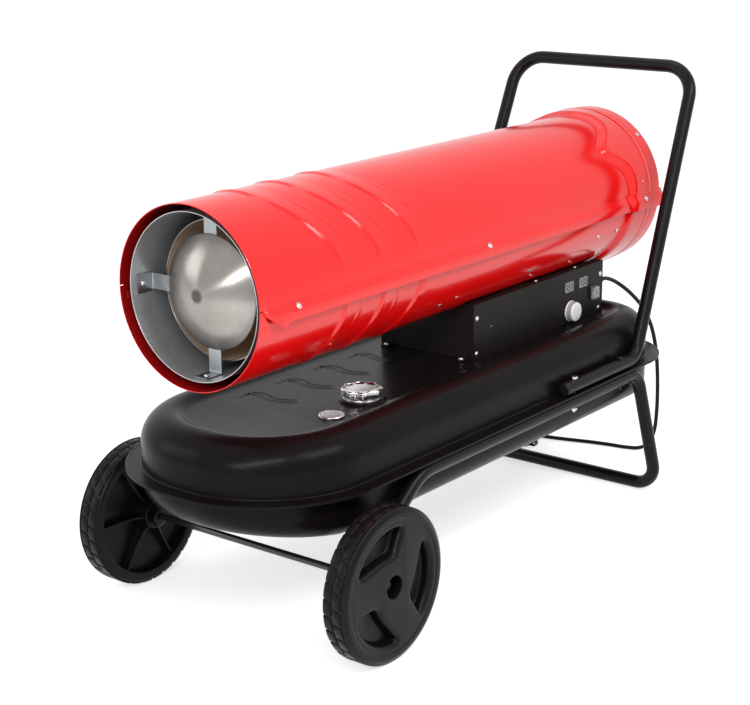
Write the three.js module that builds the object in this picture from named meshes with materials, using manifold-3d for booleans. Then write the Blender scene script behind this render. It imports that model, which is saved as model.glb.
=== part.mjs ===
// Wheeled forced air heater: a two-shell casing tube with burner, fan and air pump, lying over a two-pan
// fuel tank on a bent tube frame. Millimetres. +X is the control side, -Y the hot outlet, +Z up, floor z = 0.
import * as THREE from 'three';
import { mergeVertices } from 'three/addons/utils/BufferGeometryUtils.js';
import Module from 'manifold-3d';

const wasm = await Module();
wasm.setup();

// ---------------------------------------------------------------- driving dimensions

const GAP = 0.3;                 // clearance between neighbouring pieces
const SHEET = 1.2;               // steel sheet of casing, tank and box

// Casing tube
const TUBE_R = 147;              // outside radius
const TUBE_SINK = 24;            // how far the tube lies below the control box's top
const TUBE_FRONT = -587;
const TUBE_REAR = 586;
const FLARE_OUT = 9;             // how much wider the rear end is
const FLARE_START = 440;
const FLARE_END = 505;
const HEM_OUT = 8;               // how far the seam hem stands out
const HEM_STEP = 2;              // heights over the tube axis: where the hem leaves the shell
const HEM_TOP = -9;              // where it turns down
const HEM_FOOT = -25;            // its lower edge
const LIP_TOP = -10;             // the lower shell's lip behind the hem
const LIP_FOOT = -22;
const ARC_STEPS = 20;            // facets on half a casing
const ROUND = 18;                // facets of a turned piece as wide as a cap
const SMALL = 10;                // facets of a screw or pipe

// Hot end
const LINER_GAP = 14;            // liner inside the casing
const LINER_FRONT = -577;
const LINER_REAR = -110;
const LINER_PAD = 24;            // side of a pressed spacer pad
const CHAMBER_GAP = 21;          // chamber inside the liner
const CHAMBER_FRONT = -519;
const CHAMBER_REAR = -93.5;
const DISC_GAP = 20.5;           // disc inside the chamber's edge
const DISC_RIM = -533;
const DISC_RISE = 35;
const THIN = 1;                  // liner, chamber and disc sheet
const STRAP = 1.5;               // bracket thickness
const STRAP_W = 26;
const STRAP_FOOT = 34;           // length of a bracket's foot on the liner
const STRAP_HOOK = 30;           // length of its leg along the chamber

// Burner
const BURNER_R = 45.5;
const BURNER_DEPTH = 25;
const BURNER_RIM = 56;
const NOZZLE_R = 10;
const NOZZLE_REACH = 62;
const ELECTRODE_R = 3.5;
const ELECTRODE_SPREAD = 9;      // half the distance between the two electrodes
const ELECTRODE_UP = 24;
const SENSOR_R = 7;
const SENSOR_DOWN = 26;
const SENSOR_L = 32;

// Fan set
const SHAFT_R = 6;
const SHAFT_FRONT = 96;
const FAN_Y = 135;
const FAN_GAP = 9;               // blade tips inside the casing
const FAN_HUB_R = 28;
const FAN_HUB_L = 44;
const FAN_BLADES = 5;
const BLADE_PITCH = 32;          // degrees
const BLADE_ROOT = 44;
const BLADE_TIP = 84;
const BLADE_T = 2;
const MOTOR_R = 58;
const MOTOR_FRONT = 190;
const MOTOR_L = 180;
const CRADLE_W = 110;            // motor bracket across
const CRADLE_T = 2;
const CRADLE_INSET = 25;         // of each upright from the motor's ends
const CRADLE_UP = 19;            // its base strip over the casing's underside
const PUMP_R = 42;
const PUMP_L = 32;
const ROTOR_R = 32;
const PUMP_WALL = 6;
const COVER_L = 8;
const PORT_H = 8;                // the pump's air port under its body
const FILTER_R = 30;
const FILTER_L = 26;
const GUARD_WIRE = 3;
const GUARD_SPOKES = 6;
const GUARD_RINGS = [52, 102];
const GUARD_INSET = 9;           // from the casing's rear edge

// Fuel tank: flange outline and pan profiles
const FLANGE_Z = 268.3;          // where the two flanges meet
const FLANGE_T = 1.5;
const FLANGE_HALF = 231.5;
const FLANGE_FRONT = -640;
const FLANGE_REAR = 575;
const FLANGE_FRONT_R = 217;
const FLANGE_REAR_R = 139;
const FRONT_CORNER_STEPS = 7;
const REAR_CORNER_STEPS = 6;
const CORNER_LEAST = 8;          // the rear corners' radius on the floor's inner rings
const PAN_INSET = 27;            // from the flange edge to the pan wall
const PAN_TOP = 347.5;
const PAN_SHOULDER = 50;         // radius of the upper pan's shoulder
const PAN_CREST = 9.5;           // height of the ridge between the shoulder and the level top
const CREST_RINGS = [[90, 6], [104, 0]];   // insets and heights of the ridge's inner side
const PAN_FLOOR = 185;
const FLOOR_SHOULDER = 40;       // radius of the lower pan's shoulder
const FLOOR_RINGS = [110, 150, 190];   // insets of the lower pan's floor, up to where it is level
const NOSE_Y = -450;             // ahead of it the floor rises to the front
const NOSE_SLOPE = 0.14;
const PAD_R = 46;                // raised pad round the filler
const PAD_H = 3;
const DRAIN_Y = -420;
const DRAIN_R = 9;

// Filler
const FILLER_X = 84;
const FILLER_Y = -272;
const NECK_R = 26;
const NECK_WALL = 2;
const NECK_RIM = 30;
const NECK_DROP = 12;            // how far the neck reaches into the tank
const NECK_STAND = 3.5;          // its rim over the pad
const GASKET_T = 1.2;
const CAP_R = 33.8;
const CAP_H = 13;
const CAP_LOBES = 8;
const CAP_SKIRT = 11;            // depth of the threaded skirt in the neck
const CAP_SKIRT_WALL = 3;

// Gauge
const GAUGE_X = 99;
const GAUGE_Y = -370;
const GAUGE_R = 21.5;
const GAUGE_CUP = 16.5;
const GAUGE_DEPTH = 12;
const GAUGE_H = 3;
const GLASS_R = 17.8;
const GLASS_T = 1.4;
const POINTER_L = 13;
const FLOAT_PIVOT = 301;         // height of the float arm's pin
const FLOAT_ARM = 120;
const FLOAT_ANGLE = -45;         // degrees below level when the tank is empty
const FLOAT_R = 14;
const FLOAT_L = 34;
const PIN_R = 2;

// Control box
const BOX_HALF = 104;
const BOX_FRONT = 23;
const BOX_REAR = 465;
const BOX_H = 101.2;
const BOX_LIP = 14;
const PANEL_RETURN = 20;         // the panel's top edge, turned in towards the tube
const KNOB_Y = 346;
const KNOB_UP = 23.2;            // over the box's floor
const KNOB_R = 20;
const KNOB_H = 15;
const KNOB_FLUTES = 18;
const STEM_R = 3;
const THERMO_R = 14;
const THERMO_L = 20;
const SWITCH_Y = 428;
const SWITCH_UP = 43.2;
const SWITCH_W = 21;
const SWITCH_H = 29;
const SWITCH_RIM = 2;
const ROCKER_W = 14;
const ROCKER_HALF = 11;
const ROCKER_REST = 10;          // degrees, lower end pressed in
const DISPLAY_W = 30;
const DISPLAY_H = 20;
const DISPLAY_DOWN = 30;         // under the box's top
const DISPLAY_YS = [341, 392];
const BOARD_INSET = 28;          // from the panel's outside
const BOARD_T = 1.6;
const BOARD_YS = [312, 408];
const BOARD_DOWN = [47, 11];     // post rows under the box's top
const POST_R = 3;                // board posts
const TRANSFORMER = [62, 70, 46];
const TRANSFORMER_INSET = 59;    // its middle from the box's closed side
const TRANSFORMER_Y = 380;

// Handle, frame, bolts
const ROD_R = 12.5;              // radius of handle and frame tube
const ROD_WALL = 1.6;
const ROD_SIDES = 8;             // its facets, of the same mean radius
const BEND_STEPS = 4;
const SIDE_X = 218;              // handle and frame run along the flange here
const HANDLE_END_Y = 150;
const HANDLE_FOOT_Y = 400;
const HANDLE_TOP_X = 203;
const HANDLE_TOP_Y = 627;
const HANDLE_TOP_Z = 813;
const HANDLE_FOOT_BEND = 45;
const HANDLE_TOP_BEND = 62;
const AXLE_Y = -453;
const FRAME_FRONT_Y = -292;
const FRAME_REAR_Y = 410;
const FRAME_FRONT_BEND = 90;
const FRAME_REAR_BEND = 38;
const FLOOR_BEND = 42;
const LEG_X = 246;
const LEG_Y = 452;
const FLOOR_FLAT = 0.6;          // worn flat under the floor bar
const TONGUE_T = 9;              // flattened tube end at the axle
const TONGUE_W = 30;
const TONGUE_REACH = 34;         // its length on the tube's side of the axle
const TONGUE_END = 19;           // and beyond the axle
const BOLT_YS = [180, 340];
const BOLT_R = 3;
const BOLT_SIDES = 8;
const BOLT_HEAD_R = 6;
const BOLT_HEAD_H = 4;

// Wheels
const WHEEL_R = 127;
const WHEEL_FACE = 288.7;        // outer face from the middle
const WHEEL_T = 43.7;
const WHEEL_BOSS = 16;           // the hub's reach inwards
const WHEEL_BOSS_R = 24;
const AXLE_R = 6;
const AXLE_HALF = 277;
const LUGS = 18;
const LUG_H = 3.5;
const HOLE_R = 19;
const HOLE_DEPTH = 26;
const POCKET_R = 98;
const POCKET_DEPTH = 20;
const POCKET_TURN = 43;          // degrees to the first pocket's straight side
const RIB_INNER = 32;
const RIB_COUNT = 6;
const RIB_T = 5;
const RIB_DEPTH = 18;
const CLIP_R = 12;
const CLIP_T = 4;

// Power cord
const CORD_R = 4;
const CORD_SIDES = 8;
const CORD_STEPS = 42;
const GLAND_INSET = 16;          // from the panel's outside
const GLAND_UP = 55.2;           // over the box's floor
const GLAND_R = 12;
const GLAND_OUT = 22;            // its reach behind the box
const COIL_X = -150;
const COIL_Y = 545;
const COIL_R = 49;               // radius of the outermost turn
const COIL_TURNS = 3;
const COIL_PITCH = 8.8;
const COIL_CLIMB = 8.6;
const COIL_STEPS = 24;           // steps a turn
const TIE_T = 1;
const TIE_W = 12;
const PLUG_R = 19;
const PLUG_L = 34;
const PLUG_NECK = 24;
const PRONG_R = 2.4;
const PRONG_L = 19;
const PRONG_SPREAD = 9.5;

// ---------------------------------------------------------------- derived places

const BOX_FLOOR = PAN_TOP + GAP;
const BOX_TOP = BOX_FLOOR + BOX_H;
const TUBE_Z = BOX_TOP - TUBE_SINK + TUBE_R;
const TUBE_INNER = TUBE_R - SHEET;
const FLARE_R = TUBE_R + FLARE_OUT;
const LINER_R = TUBE_R - LINER_GAP;
const CHAMBER_R = LINER_R - CHAMBER_GAP;
const DISC_R = CHAMBER_R - DISC_GAP;
const FAN_R = TUBE_R - FAN_GAP;
const CRADLE_BASE = TUBE_R - CRADLE_UP;
const GUARD_Y = TUBE_REAR - GUARD_INSET;
const AXLE_Z = WHEEL_R;
const ROD_CORNER = ROD_R * 1.04; // radius over the facets' corners
const FRAME_Z = FLANGE_Z - FLANGE_T - GAP - ROD_CORNER;
const HANDLE_Z = FLANGE_Z + FLANGE_T + GAP + ROD_CORNER;
const FLOOR_BAR_Z = ROD_CORNER * Math.cos(Math.PI / ROD_SIDES) - FLOOR_FLAT;
const PANEL_X = BOX_HALF - SHEET;
const KNOB_Z = BOX_FLOOR + KNOB_UP;
const SWITCH_Z = BOX_FLOOR + SWITCH_UP;
const DISPLAY_Z = BOX_TOP - DISPLAY_DOWN;
const BOARD_X = BOX_HALF - BOARD_INSET;
const BOARD_ZS = BOARD_DOWN.map((down) => BOX_TOP - down);
const TRANSFORMER_AT = [TRANSFORMER_INSET - BOX_HALF, TRANSFORMER_Y];
const GLAND_X = BOX_HALF - GLAND_INSET;
const GLAND_Z = BOX_FLOOR + GLAND_UP;
const GLAND_END = BOX_REAR + GLAND_OUT;
const MOTOR_REAR = MOTOR_FRONT + MOTOR_L;
const PUMP_FRONT = MOTOR_REAR + GAP;
const PUMP_REAR = PUMP_FRONT + PUMP_L;
const COVER_FRONT = PUMP_REAR + GAP;
const SHAFT_REAR = PUMP_REAR - GAP;
const PAD_TOP = PAN_TOP + PAD_H;
const NECK_TOP = PAD_TOP + NECK_STAND;
const GASKET_FOOT = NECK_TOP + GAP;
const CAP_FOOT = GASKET_FOOT + GASKET_T + GAP;
const FUEL_LINE_AT = [-24, 60];
const AIR_HOSE_X = 24;
const LINE_HOLE = 7;
const LINE_R = 3.2;
const PICKUP_R = 5;
const PICKUP_TOP = 362;
const PICKUP_FILTER_R = 12;
const LINE_RUN = 60;             // forward run of the lines' slanting part
const LINE_SIDE = 4;             // the two lines' ends either side of the tube axis
const HOSE_LEVEL = BOX_FLOOR + 34;

// ---------------------------------------------------------------- finishes

const FINISH = {
  red: { color: 0xc8141a, roughness: 0.3, metalness: 0.1 },
  black: { color: 0x151314, roughness: 0.4, metalness: 0.2 },
  galvanised: { color: 0x8f979c, roughness: 0.4, metalness: 0.9 },
  stainless: { color: 0xb5aca2, roughness: 0.25, metalness: 1 },
  zinc: { color: 0xc4c7c9, roughness: 0.3, metalness: 1 },
  brass: { color: 0xb08d45, roughness: 0.3, metalness: 1 },
  motor: { color: 0x3c4044, roughness: 0.5, metalness: 0.6 },
  plastic: { color: 0x141414, roughness: 0.6, metalness: 0 },
  white: { color: 0xe8e8e6, roughness: 0.5, metalness: 0 },
  clear: { color: 0xcfd6d8, roughness: 0.1, metalness: 0 },
  board: { color: 0x1d5a34, roughness: 0.6, metalness: 0 },
  rubber: { color: 0x101010, roughness: 0.8, metalness: 0 },
};

// ---------------------------------------------------------------- solids

const MERGE = 1e-4;

function signedVolume(points, corners) {
  const a = new THREE.Vector3();
  const b = new THREE.Vector3();
  const c = new THREE.Vector3();
  let volume = 0;
  for (let i = 0; i < corners.length; i += 3) {
    a.fromArray(points, corners[i] * 3);
    b.fromArray(points, corners[i + 1] * 3);
    c.fromArray(points, corners[i + 2] * 3);
    volume += a.dot(b.cross(c)) / 6;
  }
  return volume;
}

// A closed geometry becomes a solid, with its faces turned outwards.
function solid(geometry) {
  const bare = new THREE.BufferGeometry();
  bare.setAttribute('position', geometry.getAttribute('position').clone());
  if (geometry.index) bare.setIndex(geometry.index.clone());
  const merged = mergeVertices(bare, MERGE);
  const all = Array.from(merged.index.array);
  const corners = [];
  for (let i = 0; i < all.length; i += 3) {
    const [a, b, c] = all.slice(i, i + 3);
    if (a !== b && b !== c && c !== a) corners.push(a, b, c);
  }
  const vertProperties = Float32Array.from(merged.getAttribute('position').array);
  if (signedVolume(vertProperties, corners) < 0) corners.reverse();
  const mesh = new wasm.Mesh({ numProp: 3, vertProperties, triVerts: Uint32Array.from(corners) });
  return new wasm.Manifold(mesh);
}

function joined(...solids) {
  return solids.reduce((whole, next) => whole.add(next));
}

function cut(whole, ...tools) {
  return tools.reduce((left, tool) => left.subtract(tool), whole);
}

function piece(name, body, finish) {
  const { vertProperties, triVerts, numProp } = body.getMesh();
  const points = new Float32Array((vertProperties.length / numProp) * 3);
  for (let i = 0; i < points.length / 3; i++) {
    points.set(vertProperties.subarray(i * numProp, i * numProp + 3), i * 3);
  }
  const geometry = new THREE.BufferGeometry();
  geometry.setAttribute('position', new THREE.BufferAttribute(points, 3));
  geometry.setIndex(new THREE.BufferAttribute(Uint32Array.from(triVerts), 1));
  geometry.computeVertexNormals();
  const mesh = new THREE.Mesh(geometry, new THREE.MeshStandardMaterial(FINISH[finish]));
  mesh.name = name;
  return mesh;
}

function block(x0, x1, y0, y1, z0, z1) {
  const geometry = new THREE.BoxGeometry(x1 - x0, y1 - y0, z1 - z0);
  geometry.translate((x0 + x1) / 2, (y0 + y1) / 2, (z0 + z1) / 2);
  return solid(geometry);
}

// A round bar between two heights of one axis. place is its centre on the other two axes, in X, Y, Z order.
function bar(axis, radius, from, to, place = [0, 0], sides = ROUND) {
  const geometry = new THREE.CylinderGeometry(radius, radius, to - from, sides);
  const middle = (from + to) / 2;
  if (axis === 'x') {
    geometry.rotateZ(Math.PI / 2);
    geometry.translate(middle, place[0], place[1]);
  } else if (axis === 'y') {
    geometry.translate(place[0], middle, place[1]);
  } else {
    geometry.rotateX(Math.PI / 2);
    geometry.translate(place[0], place[1], middle);
  }
  return solid(geometry);
}

// A turned piece about the Y axis. The profile lists [radius, height] and closes on itself or on the axis.
function turnedGeometry(profile, segments) {
  const onAxis = profile[0][0] === 0 && profile.at(-1)[0] === 0;
  const points = profile.map(([radius, height]) => new THREE.Vector2(radius, height));
  if (!onAxis) points.push(points[0].clone());
  return new THREE.LatheGeometry(points, segments);
}

function turned(profile, segments = ROUND) {
  return solid(turnedGeometry(profile, segments));
}

// The same, about an upright axis through x, y.
function turnedUp(profile, x, y, segments = ROUND) {
  const geometry = turnedGeometry(profile, segments);
  geometry.rotateX(Math.PI / 2);
  geometry.translate(x, y, 0);
  return solid(geometry);
}

function ring(inner, outer, from, to) {
  return [[inner, from], [outer, from], [outer, to], [inner, to]];
}

function polygon(points) {
  return new THREE.Shape(points.map(([x, y]) => new THREE.Vector2(x, y)));
}

function circlePoints(radius, sides) {
  return Array.from({ length: sides }, (_, i) => {
    const angle = (2 * Math.PI * (i + 0.5)) / sides;
    return [radius * Math.cos(angle), radius * Math.sin(angle)];
  });
}

function plate(shape, depth) {
  return new THREE.ExtrudeGeometry(shape, { depth, bevelEnabled: false });
}

// A centreline that is sampled only at the stations it is given.
class StationPath extends THREE.Curve {
  constructor(stations) {
    super();
    this.stations = stations;
  }

  getPoint(t, target = new THREE.Vector3()) {
    const last = this.stations.length - 1;
    const step = Math.min(Math.floor(t * last + 1e-9), last - 1);
    return target.lerpVectors(this.stations[step], this.stations[step + 1], t * last - step);
  }

  getPointAt(u, target) {
    return this.getPoint(u, target);
  }

  getTangentAt(u, target = new THREE.Vector3()) {
    const last = this.stations.length - 1;
    const at = Math.round(u * last);
    const here = this.stations[at];
    target.set(0, 0, 0);
    if (at > 0) target.add(here.clone().sub(this.stations[at - 1]).normalize());
    if (at < last) target.add(this.stations[at + 1].clone().sub(here).normalize());
    return target.normalize();
  }
}

// Straight runs between corners, with a round bend at each inner corner.
function bentStations(corners, radii, bendSteps) {
  const stations = [corners[0]];
  for (let i = 1; i < corners.length - 1; i++) {
    const back = corners[i - 1].clone().sub(corners[i]).normalize();
    const ahead = corners[i + 1].clone().sub(corners[i]).normalize();
    const half = back.angleTo(ahead) / 2;
    const radius = radii[i - 1];
    const middle = back.clone().add(ahead).normalize();
    const centre = corners[i].clone().addScaledVector(middle, radius / Math.sin(half));
    const start = corners[i].clone().addScaledVector(back, radius / Math.tan(half)).sub(centre);
    const end = corners[i].clone().addScaledVector(ahead, radius / Math.tan(half)).sub(centre);
    const turn = Math.PI - 2 * half;
    for (let k = 0; k <= bendSteps; k++) {
      const part = (turn * k) / bendSteps;
      const point = centre.clone();
      point.addScaledVector(start, Math.sin(turn - part) / Math.sin(turn));
      point.addScaledVector(end, Math.sin(part) / Math.sin(turn));
      stations.push(point);
    }
  }
  stations.push(corners.at(-1));
  return stations;
}

function swept(stations, radius, sides, wall = 0) {
  const shape = polygon(circlePoints(radius, sides));
  if (wall > 0) shape.holes.push(polygon(circlePoints(radius - wall, sides)));
  const path = new StationPath(stations);
  return solid(new THREE.ExtrudeGeometry(shape, { steps: stations.length - 1, extrudePath: path }));
}

function at(x, y, z) {
  return new THREE.Vector3(x, y, z);
}

// Rings of equal point count become one closed skin, with flat ends.
function loft(rings) {
  const count = rings[0].length;
  const points = rings.flat().flatMap((point) => point.toArray());
  const index = [];
  for (let r = 0; r + 1 < rings.length; r++) {
    for (let i = 0; i < count; i++) {
      const a = r * count + i;
      const b = r * count + ((i + 1) % count);
      index.push(a, b, b + count, a, b + count, a + count);
    }
  }
  const flat = rings[0].map((point) => new THREE.Vector2(point.x, point.y));
  const top = (rings.length - 1) * count;
  for (const [a, b, c] of THREE.ShapeUtils.triangulateShape(flat, [])) {
    index.push(c, b, a, top + a, top + b, top + c);
  }
  const geometry = new THREE.BufferGeometry();
  geometry.setAttribute('position', new THREE.Float32BufferAttribute(points, 3));
  geometry.setIndex(index);
  return solid(geometry);
}

// ---------------------------------------------------------------- casing

function growth(y) {
  const part = THREE.MathUtils.smoothstep(y, FLARE_START, FLARE_END);
  return part * (FLARE_R - TUBE_R);
}

// A casing section is drawn across the tube, run through stations along it, and widened where
// the tube flares.
function casingShell(outline) {
  const flare = [0, 1 / 3, 2 / 3, 1].map((part) => THREE.MathUtils.lerp(FLARE_START, FLARE_END, part));
  const stations = [TUBE_FRONT, ...flare, TUBE_REAR];
  const steps = stations.length - 1;
  const geometry = new THREE.ExtrudeGeometry(polygon(outline), { depth: steps, steps, bevelEnabled: false });
  const position = geometry.getAttribute('position');
  for (let i = 0; i < position.count; i++) {
    const y = stations[Math.round(position.getZ(i))];
    const x = position.getX(i);
    const z = position.getY(i);
    const scale = 1 + growth(y) / Math.hypot(x, z);
    position.setXYZ(i, x * scale, y, z * scale);
  }
  return solid(geometry);
}

// Half a circle of the tube section between two heights, over the top or under the bottom.
function halfArc(radius, height, side) {
  const start = Math.asin(height / radius);
  const sweep = side > 0 ? Math.PI - 2 * start : Math.PI + 2 * start;
  return Array.from({ length: ARC_STEPS + 1 }, (_, i) => {
    const angle = start + (side * sweep * i) / ARC_STEPS;
    return [radius * Math.cos(angle), radius * Math.sin(angle)];
  });
}

function mirrored(points) {
  return points.map(([x, z]) => [-x, z]).reverse();
}

function upperShell() {
  const outer = [[TUBE_R + HEM_OUT, HEM_FOOT], [TUBE_R + HEM_OUT, HEM_TOP]];
  const inner = [[TUBE_INNER + HEM_OUT, HEM_FOOT], [TUBE_INNER + HEM_OUT, HEM_TOP + SHEET / 2]];
  const outside = [...outer, ...halfArc(TUBE_R, HEM_STEP, 1), ...mirrored(outer)];
  const inside = [...inner, ...halfArc(TUBE_INNER, HEM_STEP + SHEET / 2, 1), ...mirrored(inner)];
  return casingShell([...outside, ...inside.reverse()]);
}

function lowerShell() {
  const lip = TUBE_R + HEM_OUT - SHEET - GAP;
  const outer = [[lip, LIP_TOP], [lip, LIP_FOOT]];
  const inner = [[lip - SHEET, LIP_TOP], [lip - SHEET, LIP_FOOT + SHEET]];
  const outside = [...outer, ...halfArc(TUBE_R, LIP_FOOT, -1), ...mirrored(outer)];
  const inside = [...inner, ...halfArc(TUBE_INNER, LIP_FOOT + SHEET, -1), ...mirrored(inner)];
  const lineHoles = [
    [FUEL_LINE_AT[0], FUEL_LINE_AT[1]],
    [AIR_HOSE_X, FUEL_LINE_AT[1]],
    [AIR_HOSE_X, airPortY()],
  ]
    .map((place) => bar('z', LINE_HOLE, -TUBE_R - SHEET, 5 * SHEET - TUBE_R, place, SMALL));
  return cut(casingShell([...outside, ...inside.reverse()]), ...lineHoles);
}

// ---------------------------------------------------------------- hot end

const LINER_SEGMENTS = 36;
const CHAMBER_SEGMENTS = 32;
const LINER_IN = (LINER_R - THIN) * Math.cos(Math.PI / LINER_SEGMENTS);

// A block that stands out from the tube axis at an angle, between two radii.
function radialBlock(angle, width, inner, outer, from, to) {
  const geometry = new THREE.BoxGeometry(width, to - from, outer - inner);
  geometry.translate(0, (from + to) / 2, (inner + outer) / 2);
  geometry.rotateY(angle);
  return solid(geometry);
}

const QUARTERS = [0, 1, 2, 3].map((quarter) => (quarter * Math.PI) / 2);
const DIAGONALS = QUARTERS.map((angle) => angle + Math.PI / 4);

function liner() {
  const reach = TUBE_INNER * Math.cos(Math.PI / ARC_STEPS / 2) - GAP;
  const padReach = Math.sqrt(reach ** 2 - (LINER_PAD / 2) ** 2);
  const padRoot = LINER_R * Math.cos(Math.PI / LINER_SEGMENTS) - THIN / 2;
  const wall = turned(ring(LINER_R - THIN, LINER_R, LINER_FRONT, LINER_REAR), LINER_SEGMENTS);
  const rows = [LINER_FRONT + 3 * LINER_PAD, LINER_REAR - 2 * LINER_PAD];
  const pads = rows.flatMap((y) => DIAGONALS.map((angle) =>
    radialBlock(angle, LINER_PAD, padRoot, padReach, y, y + LINER_PAD)));
  return joined(wall, ...pads);
}

function combustionChamber() {
  const plateHole = BURNER_R + GAP * 2;
  const profile = [
    [CHAMBER_R - THIN, CHAMBER_FRONT], [CHAMBER_R, CHAMBER_FRONT], [CHAMBER_R, CHAMBER_REAR],
    [plateHole, CHAMBER_REAR], [plateHole, CHAMBER_REAR - THIN * 1.5],
    [CHAMBER_R - THIN, CHAMBER_REAR - THIN * 1.5],
  ];
  const tabHalf = STRAP_W / 2;
  const tabReach = Math.sqrt((LINER_IN - GAP) ** 2 - tabHalf ** 2);
  const tabs = DIAGONALS.map((angle) =>
    radialBlock(angle, STRAP_W, CHAMBER_R - 3 * THIN, tabReach,
      LINER_REAR - STRAP_W, LINER_REAR - STRAP_W + STRAP));
  const shell = turned(profile, CHAMBER_SEGMENTS);
  const inside = bar('y', CHAMBER_R - THIN, CHAMBER_FRONT - 1, CHAMBER_REAR - THIN * 1.5, [0, 0],
    CHAMBER_SEGMENTS);
  return joined(shell, ...tabs.map((tab) => cut(tab, inside)));
}

function flameDisc() {
  const ball = (DISC_R ** 2 + DISC_RISE ** 2) / (2 * DISC_RISE);
  const middle = DISC_RIM - DISC_RISE + ball;
  const arc = (radius, steps) => Array.from({ length: steps + 1 }, (_, i) => {
    const angle = (Math.asin(DISC_R / ball) * i) / steps;
    return [radius * Math.sin(angle), middle - radius * Math.cos(angle)];
  });
  const front = arc(ball, 4);
  const back = arc(ball - THIN, 4).reverse();
  front[0][0] = 0;
  back.at(-1)[0] = 0;
  return turned([...front, ...back], 24);
}

// Strap from the liner past the chamber's edge to the back of the disc's rim.
function discBracket(angle) {
  const half = STRAP_W / 2;
  const footTop = Math.sqrt((LINER_IN - GAP) ** 2 - half ** 2);
  const strapY = DISC_RIM + THIN + GAP;
  return joined(
    radialBlock(angle, STRAP_W, DISC_R - 8, footTop, strapY, strapY + STRAP),
    radialBlock(angle, STRAP_W, footTop - STRAP, footTop, strapY - STRAP_FOOT, strapY + STRAP),
    radialBlock(angle, STRAP_W, CHAMBER_R + GAP, CHAMBER_R + GAP + STRAP, strapY, strapY + STRAP_HOOK),
  );
}

// ---------------------------------------------------------------- burner

function burnerHead() {
  const rear = CHAMBER_REAR + GAP;
  const front = CHAMBER_REAR - BURNER_DEPTH;
  const profile = [
    [NOZZLE_R + 2 * GAP, front], [BURNER_R, front], [BURNER_R, rear],
    [BURNER_RIM, rear], [BURNER_RIM, rear + STRAP],
    [BURNER_R - STRAP, rear + STRAP], [BURNER_R - STRAP, front + STRAP], [NOZZLE_R + 2 * GAP, front + STRAP],
  ];
  const holes = [-1, 1].map((side) =>
    bar('y', ELECTRODE_R + 2 * GAP, front - 2, front + 4, [side * ELECTRODE_SPREAD, ELECTRODE_UP], SMALL));
  const eye = bar('y', SENSOR_R + 2 * GAP, front - 2, front + 4, [0, -SENSOR_DOWN], SMALL);
  return cut(turned(profile), ...holes, eye);
}

function fuelNozzle() {
  const front = CHAMBER_REAR - BURNER_DEPTH - 8;
  const rear = front + NOZZLE_REACH;
  return turned([[0, front], [3, front], [NOZZLE_R, front + 6], [NOZZLE_R, rear], [0, rear]], SMALL);
}

function igniter() {
  const front = CHAMBER_REAR - BURNER_DEPTH - 18;
  const rear = CHAMBER_REAR + 12;
  const rods = [-1, 1].map((side) =>
    bar('y', ELECTRODE_R, front, rear, [side * ELECTRODE_SPREAD, ELECTRODE_UP], SMALL));
  const tips = [-1, 1].map((side) => swept([
    at(side * ELECTRODE_SPREAD, front + 2, ELECTRODE_UP),
    at(side * ELECTRODE_SPREAD, front - 6, ELECTRODE_UP),
    at(side * 3, front - 16, ELECTRODE_UP - 9),
  ], 1.2, 6));
  const bridgeX = ELECTRODE_SPREAD + ELECTRODE_R;
  const bridge = block(-bridgeX, bridgeX, rear - 8, rear - 2, ELECTRODE_UP - 5, ELECTRODE_UP + 5);
  return joined(bridge, ...rods, ...tips);
}

function flameSensor() {
  const front = CHAMBER_REAR - BURNER_DEPTH - 4;
  return bar('y', SENSOR_R, front, front + SENSOR_L, [0, -SENSOR_DOWN], SMALL);
}

// ---------------------------------------------------------------- fan set

function fan() {
  const front = FAN_Y - FAN_HUB_L / 2;
  const rear = FAN_Y + FAN_HUB_L / 2;
  const hub = turned(ring(SHAFT_R + GAP, FAN_HUB_R, front, rear));
  const blade = polygon([
    [-BLADE_ROOT / 2, FAN_HUB_R - 4], [BLADE_ROOT / 2, FAN_HUB_R - 4], [BLADE_TIP / 2, FAN_R - 18],
    [BLADE_TIP / 2 - 12, FAN_R - 5], [0, FAN_R - 2],
    [-BLADE_TIP / 2 + 6, FAN_R - 9], [-BLADE_TIP / 2, FAN_R - 24],
  ]);
  const blades = Array.from({ length: FAN_BLADES }, (_, i) => {
    const geometry = plate(blade, BLADE_T);
    geometry.translate(0, 0, -BLADE_T / 2);
    geometry.rotateX(Math.PI / 2);
    geometry.rotateZ(THREE.MathUtils.degToRad(BLADE_PITCH));
    geometry.translate(0, FAN_Y, 0);
    geometry.rotateY((2 * Math.PI * i) / FAN_BLADES);
    return solid(geometry);
  });
  return cut(joined(hub, ...blades), bar('y', SHAFT_R + GAP, front - 1, rear + 1));
}

function motor() {
  const end = 12;
  return turned([
    [SHAFT_R + GAP, MOTOR_FRONT], [MOTOR_R - end, MOTOR_FRONT], [MOTOR_R, MOTOR_FRONT + end],
    [MOTOR_R, MOTOR_REAR - end], [MOTOR_R - end, MOTOR_REAR], [SHAFT_R + GAP, MOTOR_REAR],
  ]);
}

function motorBracket() {
  const half = CRADLE_W / 2;
  const reach = TUBE_INNER * Math.cos(Math.PI / ARC_STEPS / 2) - GAP;
  const upright = (y) => {
    const sheet = block(-half, half, y, y + CRADLE_T, -reach, -MOTOR_R / 3);
    const round = bar('y', reach, y - 1, y + CRADLE_T + 1, [0, 0], 2 * ARC_STEPS);
    return cut(sheet.intersect(round), bar('y', MOTOR_R + 2 * GAP, y - 1, y + CRADLE_T + 1));
  };
  const front = MOTOR_FRONT + CRADLE_INSET;
  const rear = MOTOR_REAR - CRADLE_INSET;
  const strip = block(-half / 2, half / 2, front, rear + CRADLE_T, -CRADLE_BASE - CRADLE_T, -CRADLE_BASE);
  return joined(upright(front), upright(rear), strip);
}

function airPortY() {
  return PUMP_FRONT + PUMP_L / 2;
}

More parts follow.
